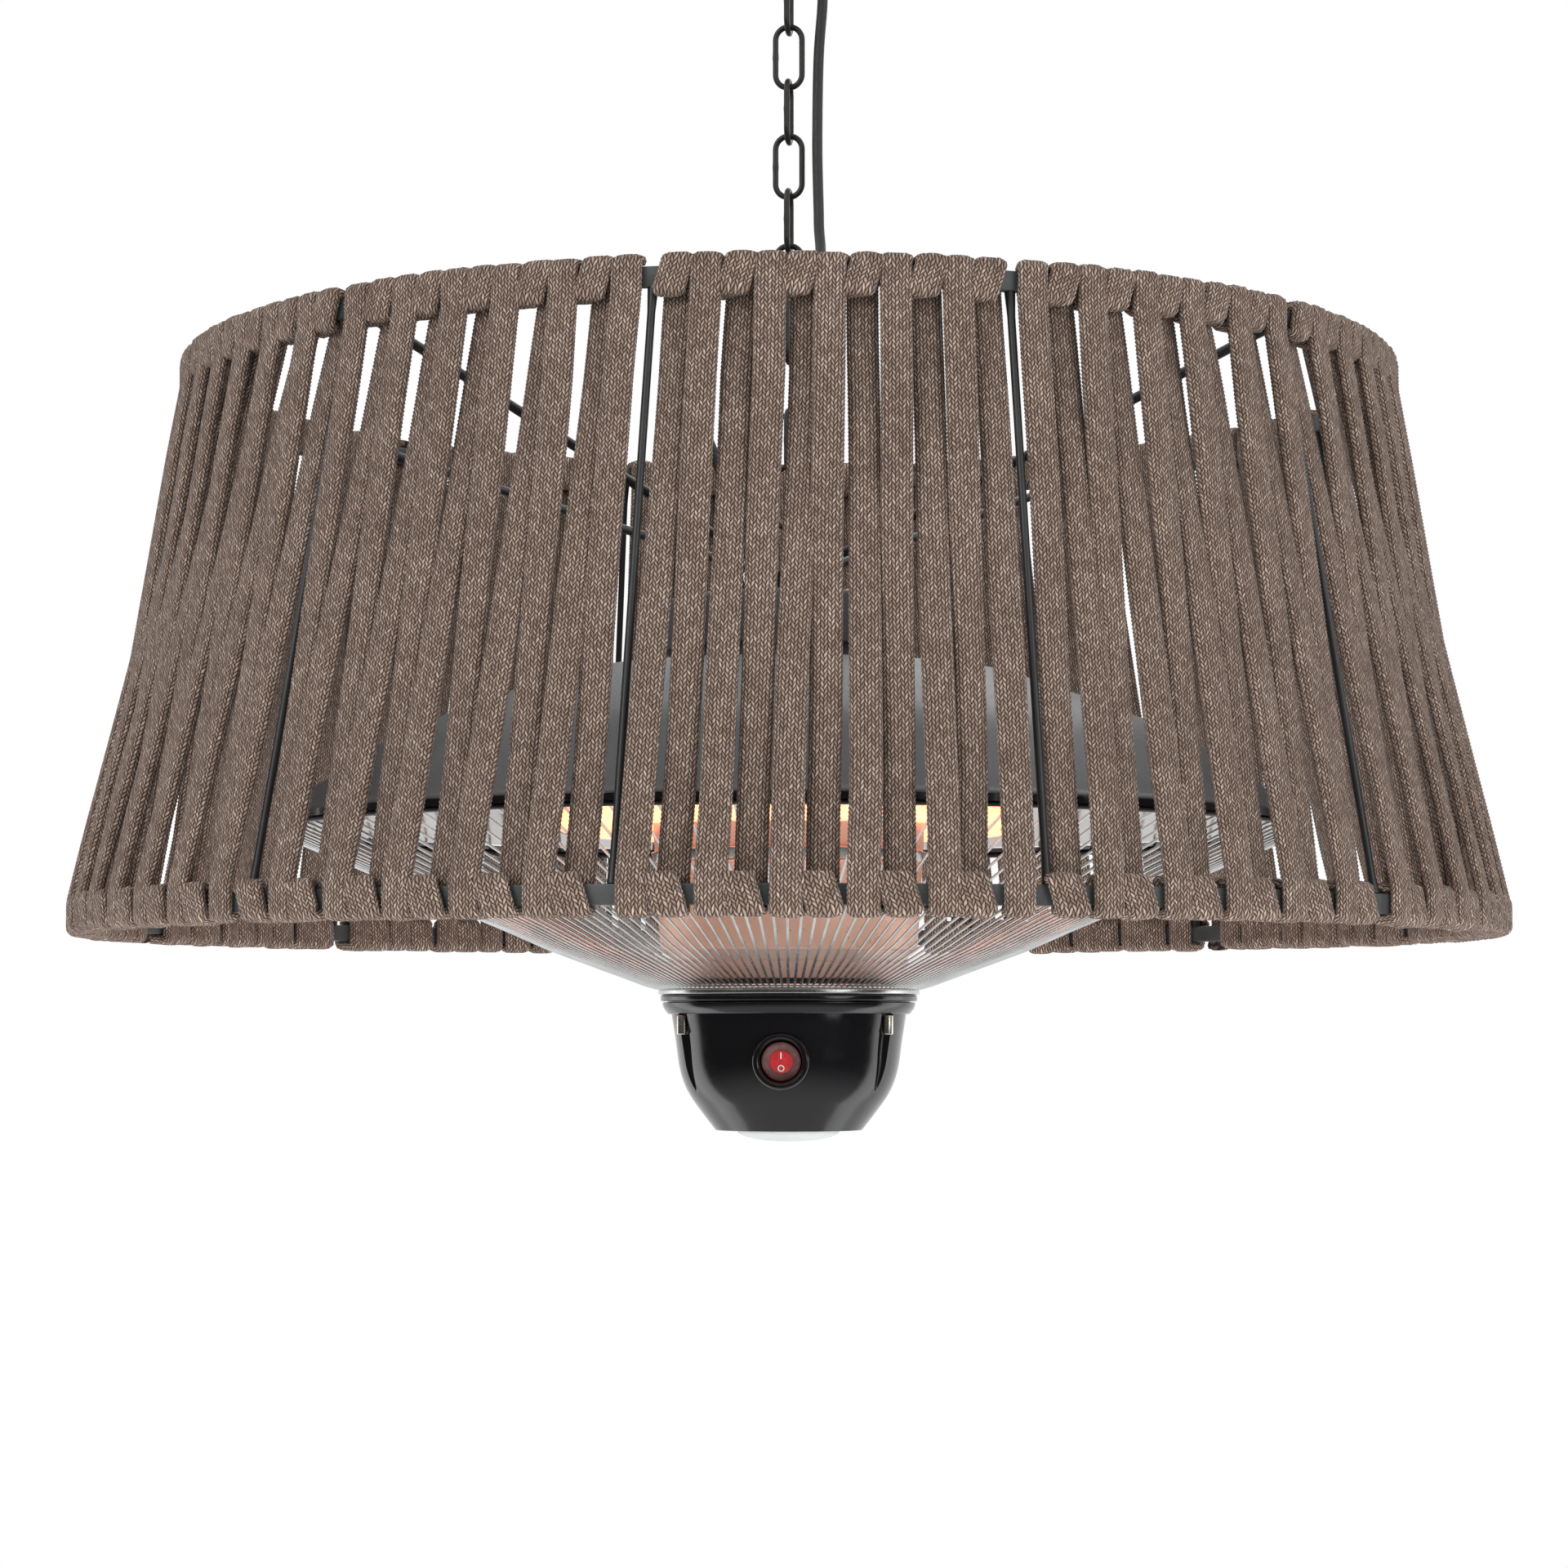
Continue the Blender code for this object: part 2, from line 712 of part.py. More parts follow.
def makeLampBrackets():
    half = lampBracketWidth / 2
    reach = lampRadius + lampBracketDepth / 2
    low = lampHeight + lampTubeDiameter / 2 + clearance
    high = innerFace(reach) - clearance
    for name, side in (("lamp_bracket_left", -1), ("lamp_bracket_right", 1)):
        corners = (lampRadius - lampBracketDepth / 2, -half, low), (reach, half, high)
        shape = block(*corners, edge=bezelEdge)
        shape.transform(Matrix.Rotation(0 if side > 0 else math.pi, 4, "Z"))
        finish(name, shape, ceramic, "heater", smooth=False)


def makeColumn():
    """Bright tube inside the ring lamp, from the reflector down to the guard's lower ring."""
    top = innerFace(columnRadius) - clearance
    low = guardBottomHeight + guardWire / 2 + clearance
    inner = columnRadius - columnWall
    profile = [(inner, top), (columnRadius, top), (columnRadius, low), (inner, low)]
    finish("core_column", lathe(profile, closed=True, segments=reflectorFacets), brightSteel, "heater")


def makeGuard():
    """Wire guard as one body: two rings joined by straight wires in a cone."""
    shape = bmesh.new()
    topHigh = reflectorRimHeight - clearance
    half = guardWire / 2
    rims = {}
    bottomHigh = guardBottomHeight + half
    for key, radius, high in (("top", guardTopRadius, topHigh), ("bottom", guardBottomRadius, bottomHigh)):
        inner = radius - guardRingWidth
        low = high - guardWire
        columns = []
        for number in range(guardWireCount):
            angle = 2 * math.pi * (number + 0.5) / guardWireCount
            halfAngle = math.asin(half / (radius if key == "bottom" else inner))
            for turn in (angle - halfAngle, angle + halfAngle):
                columns.append([shape.verts.new(around(reach, turn, level))
                                for reach, level in ((radius, high), (radius, low), (inner, low), (inner, high))])
        rims[key] = columns
    openSide = {"top": 2, "bottom": 0}
    for key, columns in rims.items():
        for index, column in enumerate(columns):
            after = columns[(index + 1) % len(columns)]
            for side in range(4):
                if index % 2 == 0 and side == openSide[key]:
                    continue
                shape.faces.new((column[side], column[(side + 1) % 4], after[(side + 1) % 4], after[side]))
    for number in range(guardWireCount):
        topLeft, topRight = rims["top"][2 * number], rims["top"][2 * number + 1]
        lowLeft, lowRight = rims["bottom"][2 * number], rims["bottom"][2 * number + 1]
        upper = (topLeft[3], topRight[3], topRight[2], topLeft[2])
        lower = (lowLeft[0], lowRight[0], lowRight[1], lowLeft[1])
        for side in range(4):
            after = (side + 1) % 4
            shape.faces.new((upper[side], upper[after], lower[after], lower[side]))
    finish("grille", shape, brightSteel, "heater", smooth=False)


def makeCollar():
    high = guardBottomHeight - guardWire / 2 - clearance
    low = headTopHeight + clearance
    top = min(high, low + collarHeight)
    profile = [(collarInnerRadius, top), (collarRadius, top), (collarRadius, low), (collarInnerRadius, low)]
    finish("grille_collar", lathe(profile, closed=True), brightSteel, "heater")


def headProfile():
    flangeBottom = headTopHeight - flangeThickness
    lowerTop = flangeBottom - flangeGroove
    lowerBottom = lowerTop - lowerFlangeThickness
    depth = headWaistHeight - headBottomHeight
    reach = headWaistRadius - headBottomRadius
    crown = (headTopRadius + headWaistRadius) / 2 - flangeGroove
    profile = [
        (0, headTopHeight), (flangeRadius, headTopHeight), (flangeRadius, flangeBottom),
        (flangeGrooveRadius, flangeBottom), (flangeGrooveRadius, lowerTop), (lowerFlangeRadius, lowerTop),
        (lowerFlangeRadius, lowerBottom), (headTopRadius, lowerBottom),
        (crown, (lowerBottom + headWaistHeight) / 2 - flangeThickness)]
    startSine = math.sin(headFallShare * math.pi / 2)
    fullDrop = 1 - math.cos(headRoundShare * math.pi / 2)
    for step in range(curveSteps + 1):
        turn = math.pi / 2 * step / curveSteps
        fall = math.sin(headFallShare * math.pi / 2 + (1 - headFallShare) * turn)
        share = (fall - startSine) / (1 - startSine)
        drop = (1 - math.cos(headRoundShare * turn)) / fullDrop
        profile.append((headWaistRadius - reach * drop, headWaistHeight - depth * share))
    profile.append((0, headBottomHeight))
    return profile, lowerBottom


def makeHead():
    profile, underFlange = headProfile()
    head = finish("head_housing", lathe(profile), blackPlastic, "heater")
    recessTop = underFlange - clearance
    for number in range(screwCount):
        angle = screwTurn + 2 * math.pi * number / screwCount
        recess = []
        for step in range(curveSteps + 1):
            share = step / (curveSteps + 1)
            width = screwRecessRadius * math.sqrt(1 - share * share)
            recess.append((width, recessTop - screwRecessLength * share))
        recess = [(0, recessTop)] + recess + [(0, recessTop - screwRecessLength)]
        shape = lathe(recess, segments=plainSegments)
        shape.transform(Matrix.Translation(around(screwRadius + screwRecessShift, angle, 0)))
        cutAway(head, guide("recess_guide_%d" % (number + 1), shape, "heater"))
        top = around(screwRadius, angle, recessTop - clearance)
        screw = rod(top - Vector((0, 0, screwLength)), top, screwDiameter, sides=plainSegments)
        finish("screw_%d" % (number + 1), screw, nickel, "heater")
    pocket = facing(lathe([(0, pocketReach), (bezelDiameter / 2 + clearance, pocketReach),
                           (bezelDiameter / 2 + clearance, -bezelDepth - clearance),
                           (0, -bezelDepth - clearance)], segments=pocketSegments))
    cutAway(head, guide("switch_guide", pocket, "heater"))
    bottom = headBottomHeight - clearance
    dome = [(0, bottom)]
    for step in range(curveSteps):
        angle = math.pi / 2 * step / curveSteps
        dome.append((lensRadius * math.cos(angle), bottom - lensDrop * math.sin(angle)))
    dome.append((0, bottom - lensDrop))
    finish("lens", lathe(dome, segments=bossSegments), frosted, "heater")


def facing(shape):
    """Turns a piece built along +Z so that it faces the front, with z = 0 at the bezel's face."""
    shape.transform(Matrix.Translation((0, -bezelFace, switchHeight)) @ Matrix.Rotation(math.pi / 2, 4, "X"))
    return shape


def makeSwitch():
    outer, bore = bezelDiameter / 2, bezelBore / 2
    profile = [(bore + bezelEdge, 0), (outer - bezelEdge, 0), (outer, -bezelEdge), (outer, -bezelDepth),
               (bore, -bezelDepth), (bore, -bezelEdge)]
    finish("switch_bezel", facing(lathe(profile, segments=bossSegments, closed=True)), blackPlastic, "heater")
    addPivot("rocker", switchHeight)
    axisDepth = bezelDepth / 2
    bodies["rocker"].location = (0, -bezelFace + axisDepth, switchHeight - hangHeight)
    radius, half = rockerDiameter / 2, rockerThickness / 2
    disc = lathe([(0, half), (radius, half), (radius, -half), (0, -half)], segments=bossSegments)
    disc.transform(Matrix.Rotation(math.pi / 2 - rockerTilt, 4, "X"))
    disc.transform(Matrix.Translation((0, 0, switchHeight)))
    finish("switch_rocker", disc, rockerPlastic, "rocker")


removeOldObjects()
guideMaterial = makeMaterial("guide", (0.5, 0.5, 0.5), 0.5, 0.0)
blackPaint = makeMaterial("black_paint", (0.02, 0.02, 0.02), 0.4, 0.0)
framePaint = makeMaterial("frame_paint", (0.06, 0.06, 0.06), 0.5, 0.0)
darkPaint = makeMaterial("dark_paint", (0.04, 0.04, 0.045), 0.45, 0.0)
chainPaint = makeMaterial("chain_paint", (0.015, 0.015, 0.015), 0.35, 0.5)
blackPlastic = makeMaterial("black_plastic", (0.015, 0.015, 0.016), 0.2, 0.0)
cableRubber = makeMaterial("cable_rubber", (0.03, 0.03, 0.028), 0.6, 0.0)
zinc = makeMaterial("zinc", (0.6, 0.6, 0.62), 0.35, 1.0)
nickel = makeMaterial("nickel", (0.65, 0.63, 0.6), 0.25, 1.0)
brightSteel = makeMaterial("bright_steel", (0.7, 0.7, 0.7), 0.2, 1.0)
reflectorMetal = makeMaterial("reflector_metal", (0.75, 0.75, 0.76), 0.15, 1.0)
rope = makeMaterial("rope", (0.22, 0.17, 0.14), 0.9, 0.0)
lampGlass = makeMaterial("lamp_glass", (1.0, 0.35, 0.1), 0.2, 0.0)
ceramic = makeMaterial("ceramic", (0.75, 0.72, 0.66), 0.5, 0.0)
frosted = makeMaterial("frosted_lens", (0.8, 0.8, 0.78), 0.5, 0.0)
rockerPlastic = makeMaterial("rocker_plastic", (0.45, 0.05, 0.04), 0.3, 0.0)

makeCeilingParts()
makeChain()
addPivot("heater", lowestContact)
makeEye("eye_bolt", eyeCentre, hubTop + clearance, -1, chainTurn + math.pi / 2, "heater")
makeCable()
makeSpider()
makeShade()
makeCap()
makeReflector()
makeLampBrackets()
makeColumn()
makeGuard()
makeCollar()
makeHead()
makeSwitch()
print("hang height %.2f mm, link pitch %.2f mm" % (hangHeight / mm, linkPitch / mm))
for body, empty in bodies.items():
    print("pivot", body, [round(value, 6) for value in empty.location])
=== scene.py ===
# Looks of a hanging patio heater: a rope-wound shade, a ring lamp in its reflector, a black head and a chain.
# Lengths are in millimetres above the shade's bottom rim until a mesh is made. Angles run from the switch side (-Y)
# towards +X.
import math

import bpy
import numpy as np
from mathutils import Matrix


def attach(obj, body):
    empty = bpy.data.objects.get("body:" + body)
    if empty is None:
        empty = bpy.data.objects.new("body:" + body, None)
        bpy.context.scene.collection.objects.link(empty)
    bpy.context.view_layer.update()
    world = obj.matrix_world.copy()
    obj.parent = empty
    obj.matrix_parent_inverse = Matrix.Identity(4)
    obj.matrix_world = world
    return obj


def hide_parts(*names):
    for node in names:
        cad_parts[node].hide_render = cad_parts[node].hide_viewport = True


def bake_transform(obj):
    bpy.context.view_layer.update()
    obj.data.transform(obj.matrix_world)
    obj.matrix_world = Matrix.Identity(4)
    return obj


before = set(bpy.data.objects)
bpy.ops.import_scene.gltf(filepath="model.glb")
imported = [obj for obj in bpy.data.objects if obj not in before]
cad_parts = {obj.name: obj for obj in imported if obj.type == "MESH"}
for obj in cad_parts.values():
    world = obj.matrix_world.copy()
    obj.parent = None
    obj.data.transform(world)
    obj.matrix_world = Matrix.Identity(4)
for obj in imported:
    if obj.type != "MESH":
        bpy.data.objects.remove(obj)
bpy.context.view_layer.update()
chance = np.random.default_rng(11)

hangHeight = 435.0  # from the rim up to the ceiling plate's top face


# Mesh tools

def place(points):
    # millimetres above the rim to metres below the ceiling
    points = np.asarray(points, float)
    return (points - (0, 0, hangHeight)) / 1000


def around(radius, angle, height):
    # a point at a radius and an angle about the vertical axis, for arrays of any shape
    radius, angle, height = np.broadcast_arrays(radius, angle, height)
    return np.stack([radius * np.sin(angle), -radius * np.cos(angle), height], -1).astype(float)


def unit(vectors):
    return vectors / np.linalg.norm(vectors, axis=-1, keepdims=True)


def wholeTurn(count):
    # even angles once round, without the last, which meets the first
    return np.arange(count) * 2 * np.pi / count


def solid(points, closeRows=False, along=None, across=None, paint=0):
    # a sheet of points (rows, columns) closed round its columns, with quads between neighbours, and end faces
    # unless its rows meet too. Six times the volume is the sum of a.(b x c), and its sign turns the faces out.
    rows, columns = points.shape[:2]
    flat = points.reshape(-1, 3)
    row = np.arange(rows if closeRows else rows - 1)[:, None]
    column = np.arange(columns)[None, :]
    places = ((0, 0), (0, 1), (1, 1), (1, 0))  # steps down the rows and along them to the corners of a quad
    quads = np.stack([(row + down) % rows * columns + (column + right) % columns for down, right in places], -1)
    quads = quads.reshape(-1, 4)
    ends = []
    if not closeRows:
        ends = [np.arange(columns)[::-1], np.arange(columns) + (rows - 1) * columns]
    along = np.arange(rows + 1) if along is None else np.append(along, along[-1])
    across = np.arange(columns + 1) if across is None else across
    marks = np.stack([np.stack(np.broadcast_arrays(along[row + down], across[column + right]), -1)
                      for down, right in places], -2).reshape(-1, 4, 2)
    triangles = [quads[:, [0, 1, 2]], quads[:, [0, 2, 3]]]
    for end in ends:
        triangles.append(np.stack([np.full(columns - 2, end[0]), end[1:-1], end[2:]], -1))
    corners = flat[np.concatenate(triangles)] - flat.mean(0)
    volume = np.einsum("ij,ij->", corners[:, 0], np.cross(corners[:, 1], corners[:, 2]))
    if volume < 0:
        quads, marks = quads[:, ::-1], marks[:, ::-1]
        ends = [end[::-1] for end in ends]
    return {"points": flat, "quads": quads, "ends": ends, "marks": marks, "paint": paint}


def makePiece(name, solids, looks, body=None, replaces=None, sharp=35):
    # joins closed solids into one mesh at the origin and gives each its material, as a number or one for each quad
    points, loops, sizes, marks, paints = [], [], [], [], []
    offset = 0
    for item in solids:
        points.append(item["points"])
        loops.append((item["quads"] + offset).ravel())
        sizes.append(np.full(len(item["quads"]), 4))
        marks.append(item["marks"].reshape(-1, 2))
        paint = np.broadcast_to(item["paint"], len(item["quads"]))
        paints.append(paint)
        for number, end in enumerate(item["ends"]):
            loops.append(end + offset)
            sizes.append([len(end)])
            marks.append(np.zeros((len(end), 2)))
            paints.append([paint[0] if number == 0 else paint[-1]])
        offset += len(item["points"])
    loops, sizes = np.concatenate(loops), np.concatenate(sizes)
    mesh = bpy.data.meshes.new(name)
    mesh.vertices.add(offset)
    mesh.vertices.foreach_set("co", place(np.concatenate(points)).ravel())
    mesh.loops.add(len(loops))
    mesh.loops.foreach_set("vertex_index", loops.astype(np.int32))
    mesh.polygons.add(len(sizes))
    mesh.polygons.foreach_set("loop_start", (np.cumsum(sizes) - sizes).astype(np.int32))
    for look in looks:
        mesh.materials.append(finishes[look])
    mesh.polygons.foreach_set("material_index", np.concatenate(paints).astype(np.int32))
    mesh.update(calc_edges=True)
    mesh.uv_layers.new(name="length").data.foreach_set("uv", np.concatenate(marks).ravel())
    mesh.validate()
    mesh.shade_smooth()
    mesh.set_sharp_from_angle(angle=math.radians(sharp))
    piece = bpy.data.objects.new(name, mesh)
    bpy.context.scene.collection.objects.link(piece)
    if body:
        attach(piece, body)
    if replaces:
        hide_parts(replaces)
    return piece


def softened(corners, cut, steps=4, closed=False):
    # each corner of an outline becomes a curve from one side to the other: (1-t)^2 a + 2t(1-t) corner + t^2 b
    corners = np.array(corners, float)
    cut = np.broadcast_to(np.asarray(cut, float), len(corners)).copy()
    before, after = np.roll(corners, 1, 0), np.roll(corners, -1, 0)
    near = np.linalg.norm(before - corners, axis=1) * 0.49
    far = np.linalg.norm(after - corners, axis=1) * 0.49
    start = corners + unit(before - corners) * np.minimum(cut, near)[:, None]
    end = corners + unit(after - corners) * np.minimum(cut, far)[:, None]
    t = np.linspace(0, 1, steps + 1)[None, :, None]
    curve = (1 - t) ** 2 * start[:, None] + 2 * t * (1 - t) * corners[:, None] + t ** 2 * end[:, None]
    if closed:
        return curve.reshape(-1, corners.shape[1])
    return np.concatenate([corners[:1], curve[1:-1].reshape(-1, corners.shape[1]), corners[-1:]])


def turned(profile, segments=96, closed=False, paint=0):
    # a (radius, height) profile turned about the vertical axis
    profile = np.asarray(profile, float)
    points = around(profile[:, :1], wholeTurn(segments)[None, :], profile[:, 1:])
    return solid(points, closeRows=closed, paint=paint)


def circle(radius, sides):
    # a round section: x = r cos a, y = r sin a
    angle = wholeTurn(sides)
    return np.stack([np.cos(angle), np.sin(angle)], -1) * radius


def headings(path, closed=False):
    # the way a path runs at each point, from the neighbours on both sides
    if closed:
        return unit(np.roll(path, -1, 0) - np.roll(path, 1, 0))
    return unit(np.gradient(path, axis=0))


def swept(path, section, reference, closed=False, scale=1.0, paint=0):
    # carries a flat section along a path: its x lies across the path and the reference, its y across both
    path = np.asarray(path, float)
    heading = headings(path, closed)
    side = unit(np.cross(np.broadcast_to(reference, heading.shape), heading))
    rise = np.cross(heading, side)
    size = np.broadcast_to(scale, len(path))[:, None, None]
    points = path[:, None] + (side[:, None] * section[None, :, :1] + rise[:, None] * section[None, :, 1:]) * size
    return solid(points, closeRows=closed, paint=paint)


def weldedRod(start, end, steps, diameter, reference, welds):
    # a straight rod that swells to each weld, given as (place, swell, width): 1 + swell e^-((t - place) / width)^2
    t = np.linspace(0, 1, steps)
    size = np.ones(steps)
    for where, swell, width in welds:
        size = size + swell * np.exp(-(((t - where) / width) ** 2))
    return swept(start + (end - start) * t[:, None], circle(diameter / 2, 16), reference, scale=size)


def movedTo(item, centre):
    item["points"] = item["points"] + centre
    return item


def turnedUpright(item, turn, height):
    # turns a solid about the vertical axis by degrees and lifts it
    angle = math.radians(turn)
    x, y, z = item["points"].T
    item["points"] = np.stack([x * math.cos(angle) - y * math.sin(angle), x * math.sin(angle) + y * math.cos(angle),
                               z + height], -1)
    return item


def turnedToFront(item, centre):
    # lays a solid turned about the vertical axis on its side, with its top towards the front
    x, y, z = item["points"].T
    item["points"] = np.stack([x, -z, y], -1) + centre
    return item


# Material tools

def linear(hexColour):
    # an sRGB hex colour as linear light
    value = np.array([int(hexColour[n:n + 2], 16) for n in (1, 3, 5)]) / 255
    value = np.where(value <= 0.04045, value / 12.92, ((value + 0.055) / 1.055) ** 2.4)
    return (*value.tolist(), 1.0)


def addNode(tree, kind, links=None, **settings):
    # one node with its settings, its values and the sockets that feed it. Its outputs come back.
    node = tree.nodes.new("ShaderNode" + kind)
    for name, value in settings.items():
        setattr(node, name, value)
    for socket, value in (links or {}).items():
        if isinstance(value, bpy.types.NodeSocket):
            tree.links.new(value, node.inputs[socket])
        else:
            node.inputs[socket].default_value = value
    return node.outputs


def newMaterial(name, colour, roughness, metallic=0.0, sockets=None):
    # a material with its plain values on the shader's own sockets
    material = bpy.data.materials.new(name)
    material.use_nodes = True
    shader = material.node_tree.nodes["Principled BSDF"]
    plain = {"Base Color": linear(colour), "Roughness": roughness, "Metallic": metallic, **(sockets or {})}
    for socket, value in plain.items():
        shader.inputs[socket].default_value = value
    return material, material.node_tree, shader


def grainedMaterial(name, colour, roughness, metallic, first, second, smooth, rough, mottle, grain, depth,
                    sockets=None, stretch=(1, 1, 1)):
    # colour that wanders over mottle mm, with roughness and bumps of grain mm that stand depth mm high. Grain that is
    # finer in the real finish is drawn as coarse as it needs to show.
    material, tree, shader = newMaterial(name, colour, roughness, metallic, sockets)
    where = addNode(tree, "TexCoord")["Object"]
    where = addNode(tree, "Mapping", {"Vector": where, "Scale": stretch})[0]
    broad = addNode(tree, "TexNoise", {"Vector": where, "Scale": 1000 / mottle, "Detail": 4.0})[0]
    fine = addNode(tree, "TexNoise", {"Vector": where, "Scale": 1000 / grain, "Detail": 3.0})[0]
    share = addNode(tree, "MapRange", {0: broad, 1: 0.3, 2: 0.7, 3: 0.0, 4: 1.0})[0]
    mixed = addNode(tree, "Mix", {0: share, 6: linear(first), 7: linear(second)}, data_type="RGBA")[2]
    worn = addNode(tree, "MapRange", {0: fine, 1: 0.3, 2: 0.7, 3: smooth, 4: rough})[0]
    bump = addNode(tree, "Bump", {"Height": fine, "Strength": 1.0, "Distance": depth / 1000})[0]
    for socket, source in (("Base Color", mixed), ("Roughness", worn), ("Normal", bump)):
        tree.links.new(source, shader.inputs[socket])
    return material


def glowFrom(tree, shader, value, first, second):
    # light whose colour goes from the first (position, colour) to the second with a value
    ramp = tree.nodes.new("ShaderNodeValToRGB")
    for stop, (position, colour) in zip(ramp.color_ramp.elements, (first, second)):
        stop.position, stop.color = position, colour
    tree.links.new(value, ramp.inputs[0])
    tree.links.new(ramp.outputs[0], shader.inputs["Emission Color"])


ropeLook = {  # column, stitch and relief in mm; lean, wobble and pitch of the fibres in stitches
    "column": 1.3, "stitch": 1.95, "lean": 0.85, "wobble": 0.5, "relief": 0.3, "fibresLong": 4.0, "fibresWide": 1.2,
    # pit is the colour of the painted shade in the creases between stitches
    "pit": "#2c231f", "dark": "#79665a", "middle": "#a58f81", "light": "#d8c3b4"}


def makeRopeMaterial(look):
    # Melange polyester rope, braided from spun yarns: columns of slanting stitches that lean to the left and right
    # by turns, each stitch of a slightly different taupe with paler fibres, painted shade in the pits between,
    # and a soft, dry sheen.
    # The stitches are drawn a little coarser than the real braid, so that they show.
    material, tree, shader = newMaterial("braidedMelangePolyester", look["middle"], 0.95, 0.0, {
        "Sheen Weight": 0.12, "Sheen Roughness": 0.4, "Specular IOR Level": 0.12})
    length = addNode(tree, "UVMap", uv_map="length")[0]
    parts = addNode(tree, "SeparateXYZ", {0: length})
    where = addNode(tree, "TexCoord")["Object"]
    wobble = addNode(tree, "TexNoise", {"Vector": where, "Scale": 330.0, "Detail": 1.0})
    steps = {"along": parts[0], "across": parts[1], "shift": wobble[0],
             "side": addNode(tree, "SeparateColor", {0: wobble[1]})[2]}

    def work(rows):
        # each row names a step, says what it does, and gives the numbers or earlier steps that it takes
        for name, operation, *terms in rows:
            links = {number: steps.get(term, term) for number, term in enumerate(terms)}
            steps[name] = addNode(tree, "Math", links, operation=operation)[0]

    # the map is in units of 100 mm
    work([("aside", "MULTIPLY", "side", look["wobble"]),
          ("column", "MULTIPLY_ADD", "across", 100 / look["column"], "aside"),
          ("columnNumber", "FLOOR", "column"),
          ("odd", "MODULO", "columnNumber", 2.0),
          ("columnPart", "FRACT", "column"),
          ("middle", "SUBTRACT", "columnPart", 0.5),
          ("leaning", "MULTIPLY_ADD", "odd", -2.0 * look["lean"], look["lean"]),
          ("slant", "MULTIPLY", "middle", "leaning"),
          ("slant", "MULTIPLY_ADD", "odd", 0.5, "slant"),
          ("row", "MULTIPLY_ADD", "along", 100 / look["stitch"], "slant"),
          ("row", "MULTIPLY_ADD", "shift", look["wobble"], "row"),
          ("rowNumber", "FLOOR", "row"),
          ("rowPart", "FRACT", "row"),
          ("crown", "MULTIPLY", "rowPart", math.pi),
          ("crown", "SINE", "crown"),
          ("flank", "MULTIPLY", "middle", 0.93 * math.pi),
          ("flank", "COSINE", "flank"),
          ("dome", "MULTIPLY", "crown", "flank"),
          ("dome", "POWER", "dome", 0.55),
          ("fibreRow", "MULTIPLY", "row", look["fibresLong"]),
          ("fibreColumn", "MULTIPLY", "column", look["fibresWide"])])
    stitch = addNode(tree, "CombineXYZ", {0: steps["columnNumber"], 1: steps["rowNumber"]})[0]
    strand = addNode(tree, "CombineXYZ", {0: steps["fibreRow"], 1: steps["fibreColumn"]})[0]
    steps["tint"] = addNode(tree, "TexWhiteNoise", {0: stitch}, noise_dimensions="3D")[0]
    steps["fibres"] = addNode(tree, "TexNoise", {"Vector": strand, "Scale": 1.0, "Detail": 1.0})[0]
    steps["broad"] = addNode(tree, "TexNoise", {"Vector": where, "Scale": 60.0, "Detail": 1.0})[0]
    work([("mixture", "MULTIPLY", "broad", 0.2),
          ("mixture", "MULTIPLY_ADD", "fibres", 0.55, "mixture"),
          ("mixture", "MULTIPLY_ADD", "tint", 0.3, "mixture")])
    ramp = tree.nodes.new("ShaderNodeValToRGB")
    stops = ramp.color_ramp.elements
    stops[0].position, stops[0].color = 0.25, linear(look["dark"])
    stops[1].position, stops[1].color = 0.82, linear(look["light"])
    stops.new(0.55).color = linear(look["middle"])
    tree.links.new(steps["mixture"], ramp.inputs[0])
    # painted shade: where the stitch's dome falls, in the creases between stitches, the colour falls to the pit
    # colour
    creaseShade = addNode(tree, "MapRange", {0: steps["dome"], 1: 0.3, 2: 0.93, 3: 0.0, 4: 1.0})[0]
    colour = addNode(tree, "Mix", {0: creaseShade, 6: linear(look["pit"]), 7: ramp.outputs[0]}, data_type="RGBA")[2]
    bump = addNode(tree, "Bump", {"Height": steps["dome"], "Strength": 1.0, "Distance": look["relief"] / 1000})[0]
    tree.links.new(colour, shader.inputs["Base Color"])
    tree.links.new(bump, shader.inputs["Normal"])
    return material


def makeFilamentMaterial():
    # Carbon filament, glowing orange, with hotter and cooler stretches
    material, tree, shader = newMaterial("glowingFilament", "#ffb066", 0.6, 0.0, {"Emission Strength": 3.6})
    where = addNode(tree, "TexCoord")["Object"]
    heat = addNode(tree, "TexNoise", {"Vector": where, "Scale": 160.0, "Detail": 2.0})[0]
    glowFrom(tree, shader, heat, (0.3, (0.85, 0.24, 0.09, 1)), (0.75, (1.0, 0.4, 0.2, 1)))
    return material


def makeQuartzMaterial():
    # Quartz tube, fused and drawn: clear, filled with the filament's glow, which is deeper at its edges
    glow = {"Emission Strength": 2.2, "Alpha": 0.45}
    material, tree, shader = newMaterial("drawnQuartz", "#ffd9b8", 0.06, 0.0, glow)
    facing = addNode(tree, "LayerWeight", {"Blend": 0.35})["Facing"]
    glowFrom(tree, shader, facing, (0.1, (1.0, 0.3, 0.17, 1)), (0.9, (0.9, 0.22, 0.085, 1)))
    return material


